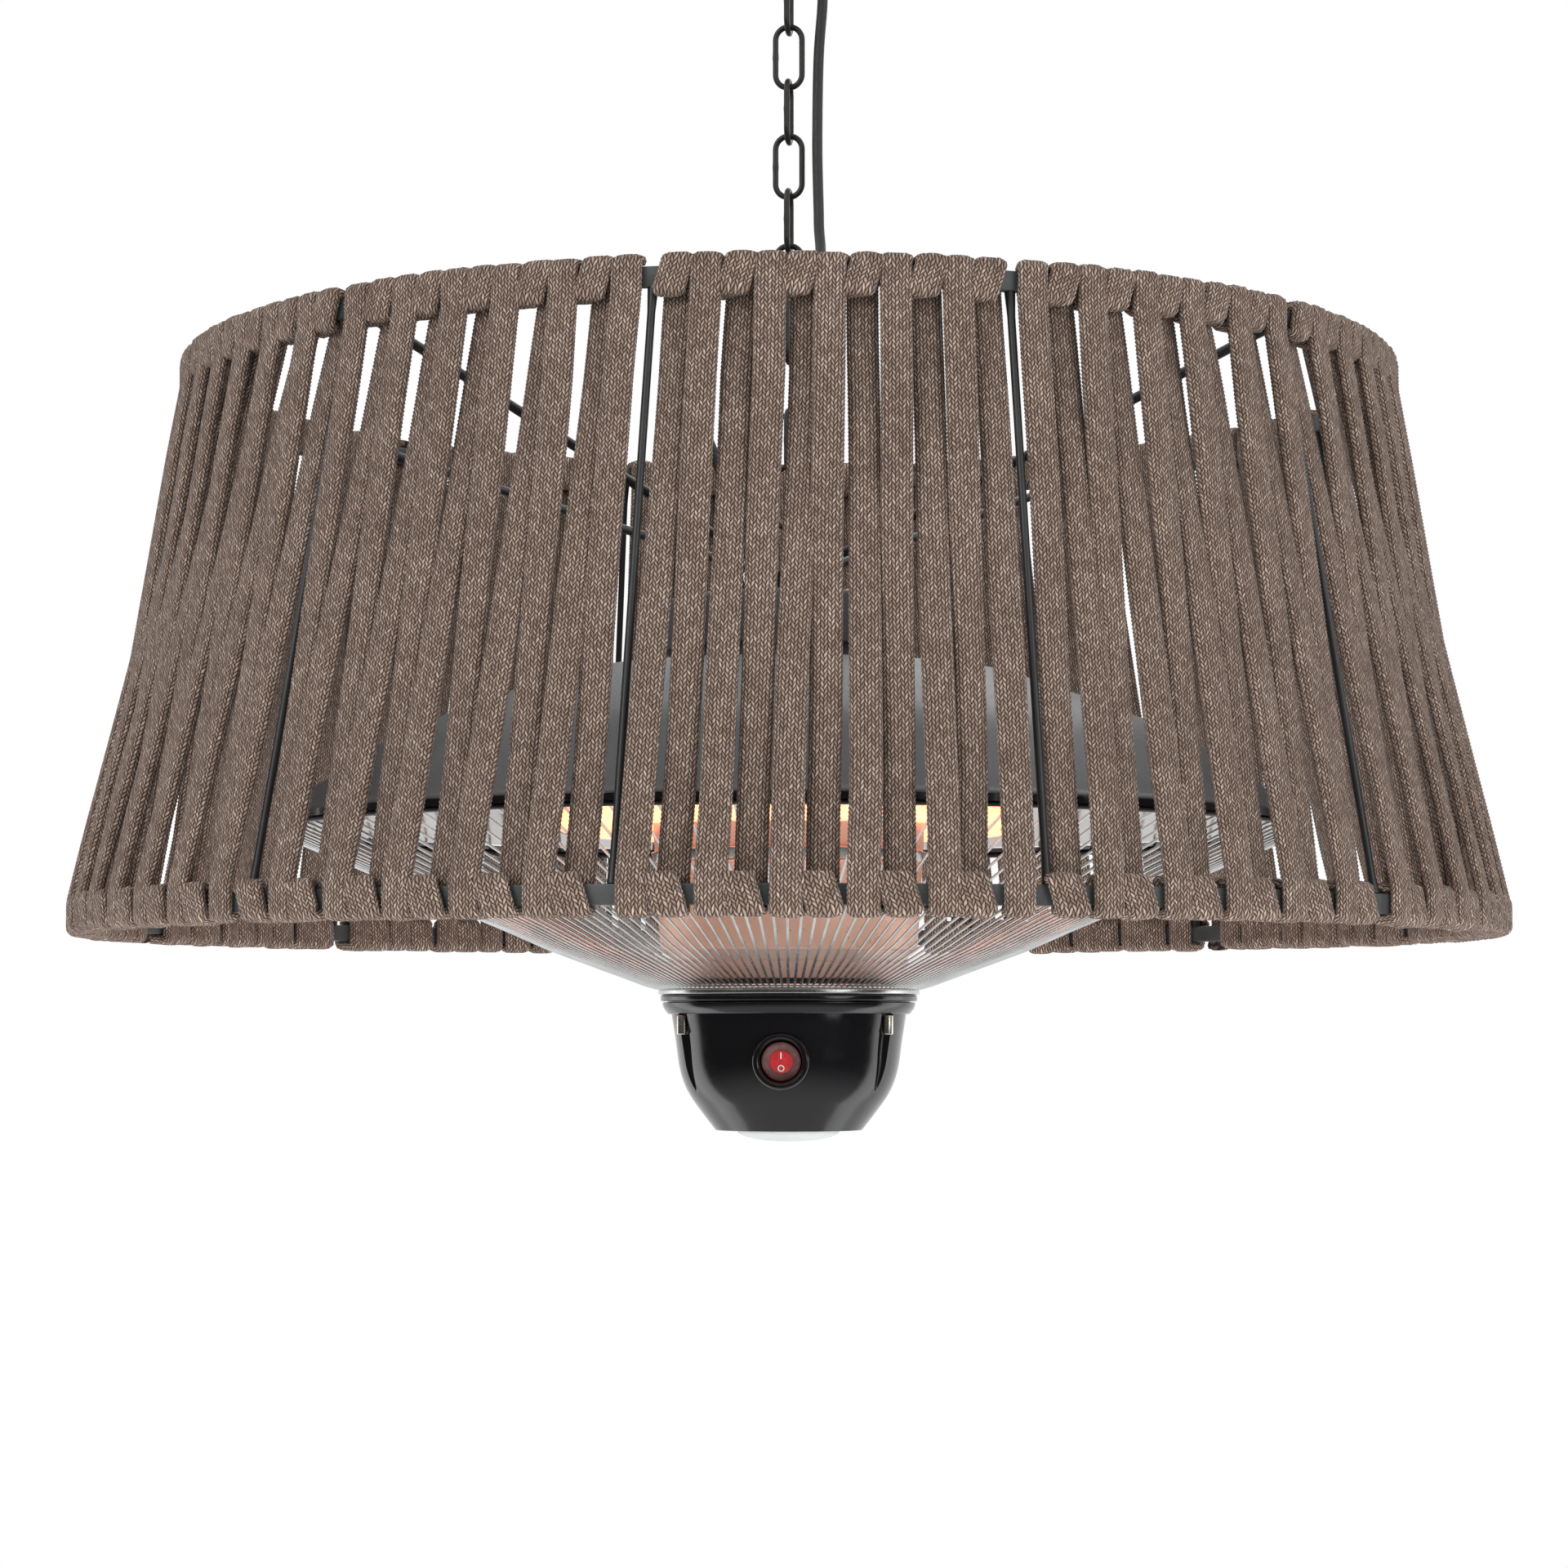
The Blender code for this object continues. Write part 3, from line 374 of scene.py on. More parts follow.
grainedFinishes = {
    # name, plain colour, roughness and metallic, two colours, two roughnesses, then mottle, grain and depth in mm
    # Powder-coated steel: even satin black with a fine orange peel
    "black": ("powderCoatedSteel", "#1b1c1c", 0.42, 0.0, "#181919", "#232424", 0.36, 0.5, 30, 0.7, 0.012),
    # The shade's flat bars carry the same coat, drawn paler than it as a painted sheen
    "bar": ("powderCoatedSteelPaintedSheen", "#3d4040", 0.45, 0.0, "#343737", "#4a4d4c", 0.36, 0.55, 18, 0.7, 0.015),
    # Heat-proof silicone enamel on the reflector's back and its cap: dark grey, dusty satin
    "enamel": ("heatProofEnamel", "#5c5f60", 0.5, 0.0, "#545758", "#646768", 0.42, 0.58, 60, 1.0, 0.01),
    # Black chromated chain steel: dark, slightly metallic, with a soft shine along each wire
    "chain": ("blackChromatedSteel", "#2a2827", 0.42, 0.3, "#252322", "#312f2d", 0.36, 0.5, 6, 0.6, 0.008),
    # Gloss ABS, moulded: deep black that mirrors the room softly
    "gloss": ("mouldedGlossAbs", "#0e0d10", 0.16, 0.0, "#0b0b0d", "#121114", 0.12, 0.2, 40, 3.0, 0.004,
              {"Coat Weight": 0.35, "Coat Roughness": 0.08}),
    # Moulded nylon of the cable glands: even satin black
    "nylon": ("mouldedNylon", "#1a1a1a", 0.5, 0.0, "#161616", "#202020", 0.42, 0.58, 10, 0.4, 0.01),
    # Extruded PVC of the cable's sheath: matt, with faint lengthwise drawing marks
    "cable": ("extrudedPvc", "#262524", 0.55, 0.0, "#222120", "#2b2a29", 0.46, 0.62, 8, 0.6, 0.012, {}, (1, 1, 0.2)),
    # Zinc-plated steel: pale, a little blue, spangled and dulled
    "zinc": ("zincPlatedSteel", "#b9bcc0", 0.34, 1.0, "#a6a9ad", "#c9ccd0", 0.26, 0.44, 4, 0.6, 0.012),
    # Nickel-plated screws: warm and bright
    "nickel": ("nickelPlatedSteel", "#e4ddd1", 0.24, 1.0, "#ded7cb", "#eae4d9", 0.18, 0.3, 5, 0.4, 0.004),
    # Chromed wire of the guard and its collar: bright, with small dull spots
    "chrome": ("chromedWire", "#d4d6d6", 0.22, 1.0, "#c4c6c6", "#dfe1e1", 0.16, 0.3, 12, 0.8, 0.006),
    # Bright-rolled aluminium, spun: mirrors the lamp with faint turning marks
    "mirror": ("spunBrightAluminium", "#d3d0cc", 0.14, 1.0, "#c9c6c2", "#dcdad6", 0.1, 0.2, 50, 2.2, 0.01),
    # Spun aluminium of the column: turning marks too fine to draw run round it and stretch its reflections along
    # its height, so it looks half matt. The lamp beside it lights it, and its pale copper colour paints in the lamp's
    # warmth.
    "column": ("turnedAluminiumPaintedWarmth", "#fad6c0", 0.3, 0.5, "#f6cfb8", "#fdddca", 0.26, 0.36, 45, 6, 0.001,
               {"Anisotropic": 0.85, "Anisotropic Rotation": 0.0}),
    # Satin aluminium of the column's skirt, bead-blasted: lit evenly by the lamp, with the lamp's warmth painted into
    # its pale tint
    "skirt": ("blastedAluminiumPaintedWarmth", "#f0ddd2", 0.5, 0.75, "#ead5c9", "#f5e5dc", 0.45, 0.55, 30, 0.8, 0.004),
    # Fired ceramic of the lamp holders: matt, chalky, off-white
    "ceramic": ("firedCeramic", "#d8d2c4", 0.55, 0.0, "#cbc4b5", "#e2ddd0", 0.45, 0.65, 8, 0.5, 0.03),
    # Frosted polycarbonate lens, moulded with a fine matt texture: light enters and spreads a little
    "lens": ("frostedPolycarbonate", "#c6cac8", 0.38, 0.0, "#c0c4c2", "#ced2d0", 0.3, 0.45, 25, 0.5, 0.012,
             {"Subsurface Weight": 0.25, "Subsurface Radius": (0.004, 0.004, 0.004)}),
    # Smoky translucent polycarbonate of the rocker's rim, over the red lamp window: moulded, dusky rose
    "smoke": ("smokedPolycarbonate", "#6b4a49", 0.22, 0.0, "#5c3d3d", "#7a5755", 0.18, 0.3, 5, 0.6, 0.006),
    # Red polycarbonate window of the rocker, moulded: glossy and lit a little from within
    "red": ("redPolycarbonate", "#bb2c2d", 0.24, 0.0, "#b0282a", "#c73233", 0.2, 0.32, 4, 0.6, 0.006,
            {"Subsurface Weight": 0.2, "Subsurface Radius": (0.003, 0.001, 0.001)}),
    # White pad-printed ink of the switch marks: thin and matt
    "print": ("whitePadPrint", "#e6dedd", 0.5, 0.0, "#dfd5d4", "#efe8e7", 0.4, 0.6, 2, 0.3, 0.004),
    # Pale matt paper of the studio's floor: even, with a faint tooth
    "paper": ("paleStudioFloor", "#f2f2f2", 0.9, 0.0, "#f0f0f0", "#f6f6f6", 0.85, 0.95, 400, 8, 0.05)}


def makeMaterials():
    made = {"rope": makeRopeMaterial(ropeLook), "filament": makeFilamentMaterial(), "quartz": makeQuartzMaterial()}
    for finish, values in grainedFinishes.items():
        made[finish] = grainedMaterial(*values)
    return made


# Camera and cable

view = {"lens": 85.28, "distance": 1577.4, "round": 4.0, "height": -42.3, "rise": 3.862, "aside": 0.0756}


def makeCamera():
    camera = bpy.data.cameras.new("camera")
    camera.lens = view["lens"]
    camera.sensor_width = 36
    item = bpy.data.objects.new("camera", camera)
    item.location = place(around(view["distance"], math.radians(view["round"]), view["height"]))
    item.rotation_euler = (math.radians(90 + view["rise"]), 0, math.radians(view["round"] + view["aside"]))
    bpy.context.scene.collection.objects.link(item)
    bpy.context.scene.camera = item


chain = {"turn": -5.0, "wire": 2.5, "length": 29.2, "width": 14.0, "first": 187.1, "pitch": 23.9, "count": 10,
         "weld": 0.15}
cable = {
    "diameter": 4.5, "overlap": 8.0, "bend": 8, "tuck": 0.045, "tip": 0.8,
    "top": (14.5, 0, 427.4), "foot": (-23.9, -2.1, 145.6),  # its ends, inside the glands
    "route": [(14.5, 0, 410.4), (14.5, 0, 400.4), (13.0, -2.5, 376), (12.6, -5, 338), (13.6, -11, 304),
              (14, -22, 284), (2, -32, 275), (-18, -34, 273), (-38, -26, 271), (-48, -14, 259), (-46, -9, 237),
              (-34, -6, 211), (-26, -3.5, 188), (-23.9, -2.1, 172.6), (-23.9, -2.1, 162.6)],
    "plateJoint": 412.5, "linkJoint": 388.85, "heaterJoint": 173.75}


def cableLine(route, spacing):
    # a Catmull-Rom curve through the route, walked in even steps
    route = np.array(route, float)
    ends = np.concatenate([[2 * route[0] - route[1]], route, [2 * route[-1] - route[-2]]])
    before, start, end, after = (ends[n:len(ends) - 3 + n, None] for n in range(4))
    t = np.linspace(0, 1, 24, endpoint=False)[None, :, None]
    fine = (start * 2 + (end - before) * t + (before * 2 - start * 5 + end * 4 - after) * t ** 2
            + (start * 3 - before - end * 3 + after) * t ** 3) / 2
    fine = np.concatenate([fine.reshape(-1, 3), route[-1:]])
    walked = np.append(0, np.cumsum(np.linalg.norm(np.diff(fine, axis=0), axis=1)))
    even = np.linspace(0, walked[-1], round(walked[-1] / spacing) + 1)
    return np.stack([np.interp(even, walked, fine[:, n]) for n in range(3)], -1), walked[-1]


def makeCable():
    # one piece over each joint of the chain. Neighbours share a stretch that follows the same link, so they stay
    # joined in every pose, and the lower one starts a little thinner, inside the upper one.
    line, length = cableLine([cable["top"]] + cable["route"] + [cable["foot"]], 1.0)
    print("cable %.1f mm with its ends in the glands" % length)
    pivots = [cable["plateJoint"]] + [cable["linkJoint"] - chain["pitch"] * n for n in range(chain["count"] - 1)]
    pivots.append(cable["heaterJoint"])
    crossings = [int(np.argmax(line[:, 2] < pivot)) for pivot in pivots]
    half, last = int(cable["overlap"] / 2), len(crossings) - 1
    for number, crossing in enumerate(crossings):
        above = 0 if number == 0 else (crossings[number - 1] + crossing) // 2 - half
        below = len(line) - 1 if number == last else (crossing + crossings[number + 1]) // 2 + half
        path = line[above:below + 1]
        size = np.ones(len(path))
        if number:
            size = np.minimum(size, 1 - cable["tuck"] + cable["tuck"] * np.arange(len(path)) / cable["overlap"])
        size[[0, -1]] *= cable["tip"]
        tube = swept(path, circle(cable["diameter"] / 2, 16), (0, 1, 0), scale=size)
        piece = makePiece("cable_%02d" % (number + 1), [tube], ["cable"], replaces="power_cable")
        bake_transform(piece)


# Chain, its eyes and the ceiling plate

def linkSolid(centre, turn):
    # two straight sides and two half-round bows, with a swollen weld in the middle of one side
    bow, straight = (chain["width"] - chain["wire"]) / 2, (chain["length"] - chain["width"]) / 2
    half = np.linspace(0, np.pi, 19)
    sides = np.linspace(1, -1, 11)[1:-1] * straight
    x = np.concatenate([bow * np.cos(half), np.full(9, -bow), -bow * np.cos(half), np.full(9, bow)])
    z = np.concatenate([straight + bow * np.sin(half), sides, -straight - bow * np.sin(half), -sides])
    path = np.stack([x, np.zeros(len(x)), z], -1)
    weld = chain["weld"] * np.exp(-((path[:, 2] / 1.3) ** 2)) * (path[:, 0] < 0)
    item = swept(path, circle(chain["wire"] / 2, 14), (0, 1, 0), closed=True, scale=1 + weld / chain["wire"] * 2)
    return turnedUpright(item, turn, centre)


def makeChain():
    for number in range(1, chain["count"] + 1):
        turn = chain["turn"] + (0 if number % 2 else 90)
        item = linkSolid(chain["first"] + (number - 1) * chain["pitch"], turn)
        makePiece("chainLink_%02d" % number, [item], ["chain"], "link_%02d_body" % number, "link_%02d" % number)


eye = {"radius": 6.0, "wire": 3.0, "collar": 2.5, "collarFrom": 6.6, "ceiling": 418.5, "heater": 170.8}
gland = {"nut": 6.0, "nutWidth": 11.6, "ribs": 12, "ribDepth": 0.035, "ribbed": (6, 17),
         "dome": [(4.6, 5.5), (5.2, 6.2), (4.5, 9.5), (3.15, 20), (2.4, 20), (2.4, 19)],
         "domeCuts": (0.3, 0.5, 1.5, 0.4, 0.2, 0.1), "throat": [(2.4, 12), (1.0, 12)]}
plate = {"radius": 35.0, "thickness": 4.0, "screwOut": 24.0}


def eyeSolids(centre, turn, shankEnd, sign):
    # a ring bent from round rod, with a collar from under it to the part that carries it
    flat = circle(eye["radius"], 48)
    path = np.stack([flat[:, 0], np.zeros(48), flat[:, 1]], -1)
    ring = swept(path, circle(eye["wire"] / 2, 14), (0, 1, 0), closed=True)
    low, high = sorted((centre + sign * eye["collarFrom"], shankEnd))
    outline = [(0.3, low), (eye["collar"], low), (eye["collar"], high), (0.3, high)]
    return [turnedUpright(ring, turn, centre), turned(softened(outline, 0.5), 32)]


def hexNut(height, width, bottom, centre):
    # a six-sided nut with chamfered corners: each ring of points is the lesser of a hexagon and a circle
    angle = wholeTurn(72)
    hexagon = width / 2 / np.cos((angle + np.pi / 6) % (np.pi / 3) - np.pi / 6)
    levels = np.array([0, 0.12, 0.88, 1.0]) * height + bottom
    limits = np.array([width / 2 * 0.98, width, width, width / 2 * 0.98])
    radius = np.minimum(hexagon[None], limits[:, None])
    return movedTo(solid(around(radius, angle[None], levels[:, None])), (*centre, 0))


def glandSolids(bottom, centre, up=1):
    # a hexagonal nut, and a dome whose radius swells with twelve ribs and closes on the cable
    nut = hexNut(gland["nut"], gland["nutWidth"], min(bottom, bottom + gland["nut"] * up), centre)
    profile = np.concatenate([softened(gland["dome"], gland["domeCuts"]), gland["throat"]])
    radius, height = profile[:, :1], profile[:, 1:]
    angle = wholeTurn(72)
    ribs = 1 + gland["ribDepth"] * np.cos(angle * gland["ribs"])
    ribbed = (height > gland["ribbed"][0]) & (height < gland["ribbed"][1]) & (radius > 2.6)
    points = around(radius * np.where(ribbed, ribs[None], 1.0), angle[None], height * up + bottom)
    return [nut, movedTo(solid(points), (*centre, 0))]


def makeCeilingParts():
    foot = hangHeight - plate["thickness"]
    outline = [(0.4, hangHeight), (plate["radius"], hangHeight), (plate["radius"], foot), (0.4, foot)]
    parts = [turned(softened(outline, (0.1, 0.3, 1.2, 0.1), 5), 120)]
    for side in (-1, 1):
        screw = turned(softened([(0.3, 431.2), (4.2, 431.2), (3.4, 430.0), (0.3, 429.7)], 0.5), 32, paint=1)
        parts.append(movedTo(screw, (0, side * plate["screwOut"], 0)))
    makePiece("ceilingPlate", parts, ["black", "zinc"], "ceiling", "ceiling_plate")
    makePiece("ceilingEye", eyeSolids(eye["ceiling"], chain["turn"], 430.9, 1), ["zinc"], "ceiling", "ceiling_hook")
    makePiece("ceilingGland", glandSolids(430.7, cable["top"][:2], -1), ["nylon"], "ceiling", "ceiling_gland")


# Rope winding

rope = {
    "width": 11.8, "thickness": 4.6, "fullness": 0.8, "step": 0.75, "scallop": 0.13, "twist": 5.0,
    "runs": 11, "ribs": 12, "phase": math.radians(-7.3), "pitch": math.radians(5.207), "first": math.radians(1.861),
    "off": 2.9, "deep": 5.8,  # how far it stands outside and inside each ring
    "loose": 0.05, "wander": 0.35, "inAndOut": 0.25,
    "waves": (61, 137, 23, 47, 53, 97, 31)}  # lengths over which it wanders, twists and swells
topRing = {"radius": 252.5, "height": 231.75, "rise": 5.6, "wrap": 12.2,
           "shares": (0, 0.01, 0.10, 0.12, 0.41, 0.56, 0.565, 0.565)}
lowRing = {"radius": 296.0, "height": 6.25, "rise": -5.6, "wrap": 13.4,
           "shares": (0.30, 0.30, 0.33, 0.36, 0.64, 0.77, 0.79, 0.79)}


def ringPasses(ring, strip, slack):
    # corners round a ring, from the run that arrives outside it to the one that leaves inside, at shares of a pitch:
    # (angle, radius, height, width)
    out, inside = ring["radius"] + rope["off"], ring["radius"] - rope["deep"]
    near, far = ring["height"] - ring["rise"], ring["height"] + ring["rise"]
    radius = [out, out, inside, inside, out, out, inside, inside]
    height = [near, far, far, near, near, far, far, near]
    width = np.array([0, 0, 1, 1, 1, 1, 0, 0]) * (ring["wrap"] - rope["width"]) + rope["width"]
    share = np.array(ring["shares"]) + slack
    return np.stack([strip + share * rope["pitch"], radius, height + slack * 8, width], -1)


def bayPasses(bay, chance):
    # the corners of one bay's winding. With an odd number of runs, every second bay starts with a rising run.
    turns = rope["runs"] // 2
    first = rope["phase"] + 2 * np.pi * bay / rope["ribs"] + rope["first"]
    if bay % 2 == 0:
        first -= rope["pitch"] / 2

    def wrap(ring, strip):
        slack = np.repeat(chance.normal(0, [0.025, 0.02, 0.02, rope["loose"]]), 2).clip(-0.08, 0.08)
        return ringPasses(ring, first + strip * rope["pitch"], slack)

    if bay % 2:
        start = wrap(lowRing, -1)[4:]
        middle = [wrap(ring, strip) for strip in range(turns) for ring in (topRing, lowRing)]
        end = wrap(topRing, turns)
    else:
        start = wrap(topRing, 0)[4:]
        middle = [wrap(lowRing, 0)] + [wrap(ring, strip) for strip in range(1, turns) for ring in (topRing, lowRing)]
        end = wrap(lowRing, turns)
        middle.append(wrap(topRing, turns))
    return np.concatenate([start[:1] - (0, rope["off"], 0, 0), start] + middle + [end[:2], (end[1:2] + end[2:3]) / 2])


def smoothed(values, reach):
    # a running mean, with the ends held
    kernel = np.ones(reach) / reach
    padded = np.concatenate([np.repeat(values[:1], reach, 0), values, np.repeat(values[-1:], reach, 0)])
    return np.stack([np.convolve(padded[:, n], kernel, "same") for n in range(values.shape[1])], -1)[reach:-reach]


def ropeSolid(bay, chance):
    # the rope's centre line is walked in even steps. Its width lies along the ring, square to the line. For s from
    # -1 to 1 its flat section is x = width s / 2, y = thickness (1 - |s|^5)^(1/2) / 2, swollen and pinched by turns
    # at each step, so that its edges are scalloped.
    passes = bayPasses(bay, chance)
    spot = around(passes[:, 1], passes[:, 0], passes[:, 2])
    walked = np.append(0, np.cumsum(np.linalg.norm(np.diff(spot, axis=0), axis=1)))
    fine = np.arange(0, walked[-1], 0.25)
    track = np.stack([np.interp(fine, walked, passes[:, n]) for n in range(4)], -1)
    track = smoothed(smoothed(track, 9), 7)
    even = np.arange(0, fine[-1], rope["step"] * (1))
    track = np.stack([np.interp(even, fine, track[:, n]) for n in range(4)], -1)
    angle, radius, height, width = track.T
    free = np.clip(np.minimum(height - 14, 224 - height) / 30, 0, 1)  # 0 at the rings, 1 on the runs
    start = chance.uniform(0, 2 * np.pi, 6)
    wave = [np.sin(even / length + start[n % 6]) for n, length in enumerate(rope["waves"])]
    angle = angle + free * rope["wander"] * (wave[0] + wave[1] + 0.5 * wave[2]) / radius
    path = around(radius + rope["inAndOut"] * free * wave[3], angle, height)
    heading = headings(path)
    ring = np.stack([np.cos(angle), np.sin(angle), 0 * angle], -1)
    lean = (heading * ring).sum(-1, keepdims=True)
    side = unit(ring - 0.65 * lean * heading)
    face = unit(np.cross(heading, side))
    twist = (np.radians(rope["twist"]) * free * (wave[4] + wave[5]) / 1.6)[:, None]
    side, face = side * np.cos(twist) + face * np.sin(twist), face * np.cos(twist) - side * np.sin(twist)
    share = np.array([-1, -0.9, -0.55, -0.18, 0.18, 0.55, 0.9, 1, 0.9, 0.55, 0.18, -0.18, -0.55, -0.9])
    sign = np.array([0, 1, 1, 1, 1, 1, 1, 0, -1, -1, -1, -1, -1, -1])
    bulge = np.sqrt(1 - np.abs(share) ** 5).clip(0.35, 1) * sign
    beat = np.where(np.arange(len(even)) % 2 == 0, 1.0, -1.0)[:, None]
    edge = np.abs(share)[None] > 0.85
    swell = np.where(edge, beat, -beat * np.where(np.abs(share) > 0.5, 1.0, -1.0)[None])
    flat = width[:, None] / 2 * share[None] + edge * np.sign(share)[None] * swell * rope["scallop"]
    thick = (rope["thickness"] + rope["fullness"] * free)[:, None] / 2 * bulge[None]
    thick = thick * (1 + 0.09 * swell + 0.05 * wave[6][:, None])
    points = path[:, None] + side[:, None] * flat[..., None] + face[:, None] * thick[..., None]
    girth = np.append(0, np.cumsum(np.hypot(np.diff(np.append(share, share[0])) * rope["width"] / 2,
                                            np.diff(np.append(bulge, bulge[0])) * rope["thickness"] / 2)))
    return solid(points, along=even / 100 + bay * 0.37, across=girth / 100), walked[-1]


def makeRope():
    total = 0.0
    for bay in range(rope["ribs"]):
        item, length = ropeSolid(bay, chance)
        total += length
        makePiece("ropeBay_%02d" % (bay + 1), [item], ["rope"], "heater", "rope_bay_%02d" % (bay + 1),
                  sharp=80)
    print("rope %.1f m in %d bays" % (total / 1000, rope["ribs"]))


# Shade frame

shade = {
    "barHeight": 7.5, "barOut": 0.7, "barIn": 3.5, "edge": 0.6,
    "rib": 3.0, "ribIn": 2.0, "lean": 0.15, "ribWelds": ((0, 0.35, 0.012), (1, 0.35, 0.012)),
    "spoke": 4.0, "spokeFrom": (4.0, 152.0), "spokeTo": (249.9, 231.75), "spokeWelds": ((1, 0.3, 0.01),),
    "hub": [(0.4, 155), (8.2, 155), (8.2, 149), (0.4, 149)]}


def makeShadeFrame():
    # flat bars turned round, straight ribs between them, and four spokes that rise from the hub to the top bar
    deep = shade["barHeight"] / 2
    for name, node, ring in (("topBar", "top_ring", topRing), ("bottomBar", "bottom_ring", lowRing)):
        near, far = ring["radius"] - shade["barIn"], ring["radius"] + shade["barOut"]
        top, foot = ring["height"] + deep, ring["height"] - deep
        outline = softened([(near, top), (far, top), (far, foot), (near, foot)], shade["edge"], 3, True)
        makePiece(name, [turned(outline, 240, closed=True)], ["bar"], "heater", node)
    low, high = lowRing["height"] + deep, topRing["height"] - deep
    slope = (lowRing["radius"] - topRing["radius"]) / (topRing["height"] - lowRing["height"])
    for number in range(rope["ribs"]):
        angle = rope["phase"] + 2 * np.pi * number / rope["ribs"]
        foot = around(lowRing["radius"] - shade["ribIn"] - slope * deep, angle - shade["lean"] * rope["pitch"], low)
        head = around(topRing["radius"] - shade["ribIn"] + slope * deep, angle, high)
        rib = weldedRod(foot, head, 24, shade["rib"], (0, 1, 0.01), shade["ribWelds"])
        makePiece("shadeRib_%02d" % (number + 1), [rib], ["black"], "heater", "rib_%02d" % (number + 1))
    parts = [turned(softened(shade["hub"], (0.1, 0.8, 0.8, 0.1)), 48)]
    for number in range(4):
        angle = rope["phase"] + 2 * np.pi * (3 * number + 2) / rope["ribs"] + 0.1 * rope["pitch"]
        (near, low), (far, high) = shade["spokeFrom"], shade["spokeTo"]
        parts.append(weldedRod(around(near, angle, low), around(far, angle, high), 20, shade["spoke"], (0, 0, 1),
                               shade["spokeWelds"]))
    makePiece("spokesAndHub", parts, ["black"], "heater", "spider")
    makePiece("eyeBolt", eyeSolids(eye["heater"], chain["turn"] + 90, 155.1, -1), ["zinc"], "heater", "eye_bolt")
    makePiece("heaterGland", glandSolids(142.3, cable["foot"][:2]), ["nylon"], "heater", "cable_gland")


# Reflector, lamp, column and guard

reflector = {
    "outer": [(0.5, 112.7), (50, 112.7), (93, 110.7), (132, 97.2), (171, 81), (216.4, 49.4), (218.6, 48.2),
              (220, 47.2), (220, 44)],
    "outerCuts": (0, 2, 8, 20, 14, 1, 0.5, 0.5, 0.3),
    "inner": [(217.6, 44), (215.4, 46.8), (169.8, 79.56), (130.8, 95.76), (91.8, 109.26), (49, 111.2), (0.5, 111.2)],
    "innerCuts": (0.3, 0.6, 14, 20, 8, 2, 0), "segments": 168,
    "rivets": 6, "rivetOut": 43.0, "rivet": [(0.3, 109.4), (1.6, 109.7), (2.6, 110.6), (2.6, 111.4)],
    "cap": [(5, 112.9), (50, 112.9), (50, 120), (53, 120), (53, 142), (5, 142), (5, 148.8), (0.5, 148.8)],
    "capCuts": (0.2, 0.3, 0.6, 0.8, 2.4, 1.0, 0.6, 0.1),
    "capScrews": 4, "capScrewOut": 40.0, "capScrew": [(0.3, 142), (3.4, 142), (3.2, 143.6), (0.3, 144.1)]}
lamp = {"radius": 94.0, "height": 48.7, "tube": 5.5, "coil": 3.2, "wire": 0.55, "coilPitch": 4.2,
        "holder": [(90, -7), (98, -7), (98, 7), (90, 7)], "clip": [(5.1, -3), (6.1, -3), (6.1, 3), (5.1, 3)],
        "holderShape": ((55.3, 0.9), (56.1, 1), (58, 1), (64, 1), (66, 0.86), (104.9, 0.86), (105.6, 0.86))}
guard = {"wires": 144, "wire": 1.25,
         "line": [(217.6, 42.6), (213, 41), (119, 1.5), (101, -6.4), (61, -21.2), (56.2, -22.6)],
         # the top ring's black finish is painted shade, for the dark band under the reflector's rolled rim
         "rings": ((217.6, 43.0, 1.0, 1), (56.2, -22.2, 0.9, 0)),  # radius, height, wire's radius, finish
         "collar": [(50, -23.3), (55.3, -23.3), (55.3, -25.3), (50, -25.3)]}
column = {"top": 110.0, "topRadius": 61.5, "seams": (35.0, 30.0), "skirt": -7.0, "skirtRadius": 54.5, "lower": 49.0,
          "foot": -19.0, "neck": 43.0, "neckFoot": -25.2, "bead": ((1.2, -11.2), (2, -11.8), (1.2, -12.4)),
          "band": [(50, 30.3), (57.1, 30.3), (58.7, 34.7), (50, 34.7)]}


def makeReflector():
    # a spun dish: enamel outside, bright inside, and a rolled rim whose outer band is drawn gloss black as painted
    # shade. The cap on it is stepped.
    outer = softened(reflector["outer"], reflector["outerCuts"], 5)
    inner = softened(reflector["inner"], reflector["innerCuts"], 5)
    profile = np.concatenate([outer, inner])
    row = np.arange(len(profile) - 1)
    # the rim's outer band faces the dark front, and its gloss black is painted shade
    rim = (row >= len(outer) - 3) & (row <= len(outer))
    dish = turned(profile, reflector["segments"],
                  paint=np.repeat(np.where(rim, 2, row >= len(outer)), reflector["segments"]))
    parts = [dish]
    for number in range(reflector["rivets"]):
        spot = around(reflector["rivetOut"], 2 * np.pi * number / reflector["rivets"] + 0.3, 0)
        parts.append(movedTo(turned(reflector["rivet"], 20, paint=1), spot))
    makePiece("reflectorDish", parts, ["enamel", "mirror", "gloss"], "heater", "reflector")
    profile = softened(reflector["cap"], reflector["capCuts"], 5)
    parts = [turned(np.concatenate([[(0.5, 112.9)], profile]), 120)]
    for number in range(reflector["capScrews"]):
        spot = around(reflector["capScrewOut"], 2 * np.pi * (number + 0.5) / reflector["capScrews"], 0)
        parts.append(movedTo(turned(softened(reflector["capScrew"], 0.6), 28, paint=1), spot))
    makePiece("reflectorCap", parts, ["enamel", "nickel"], "heater", "top_cap")


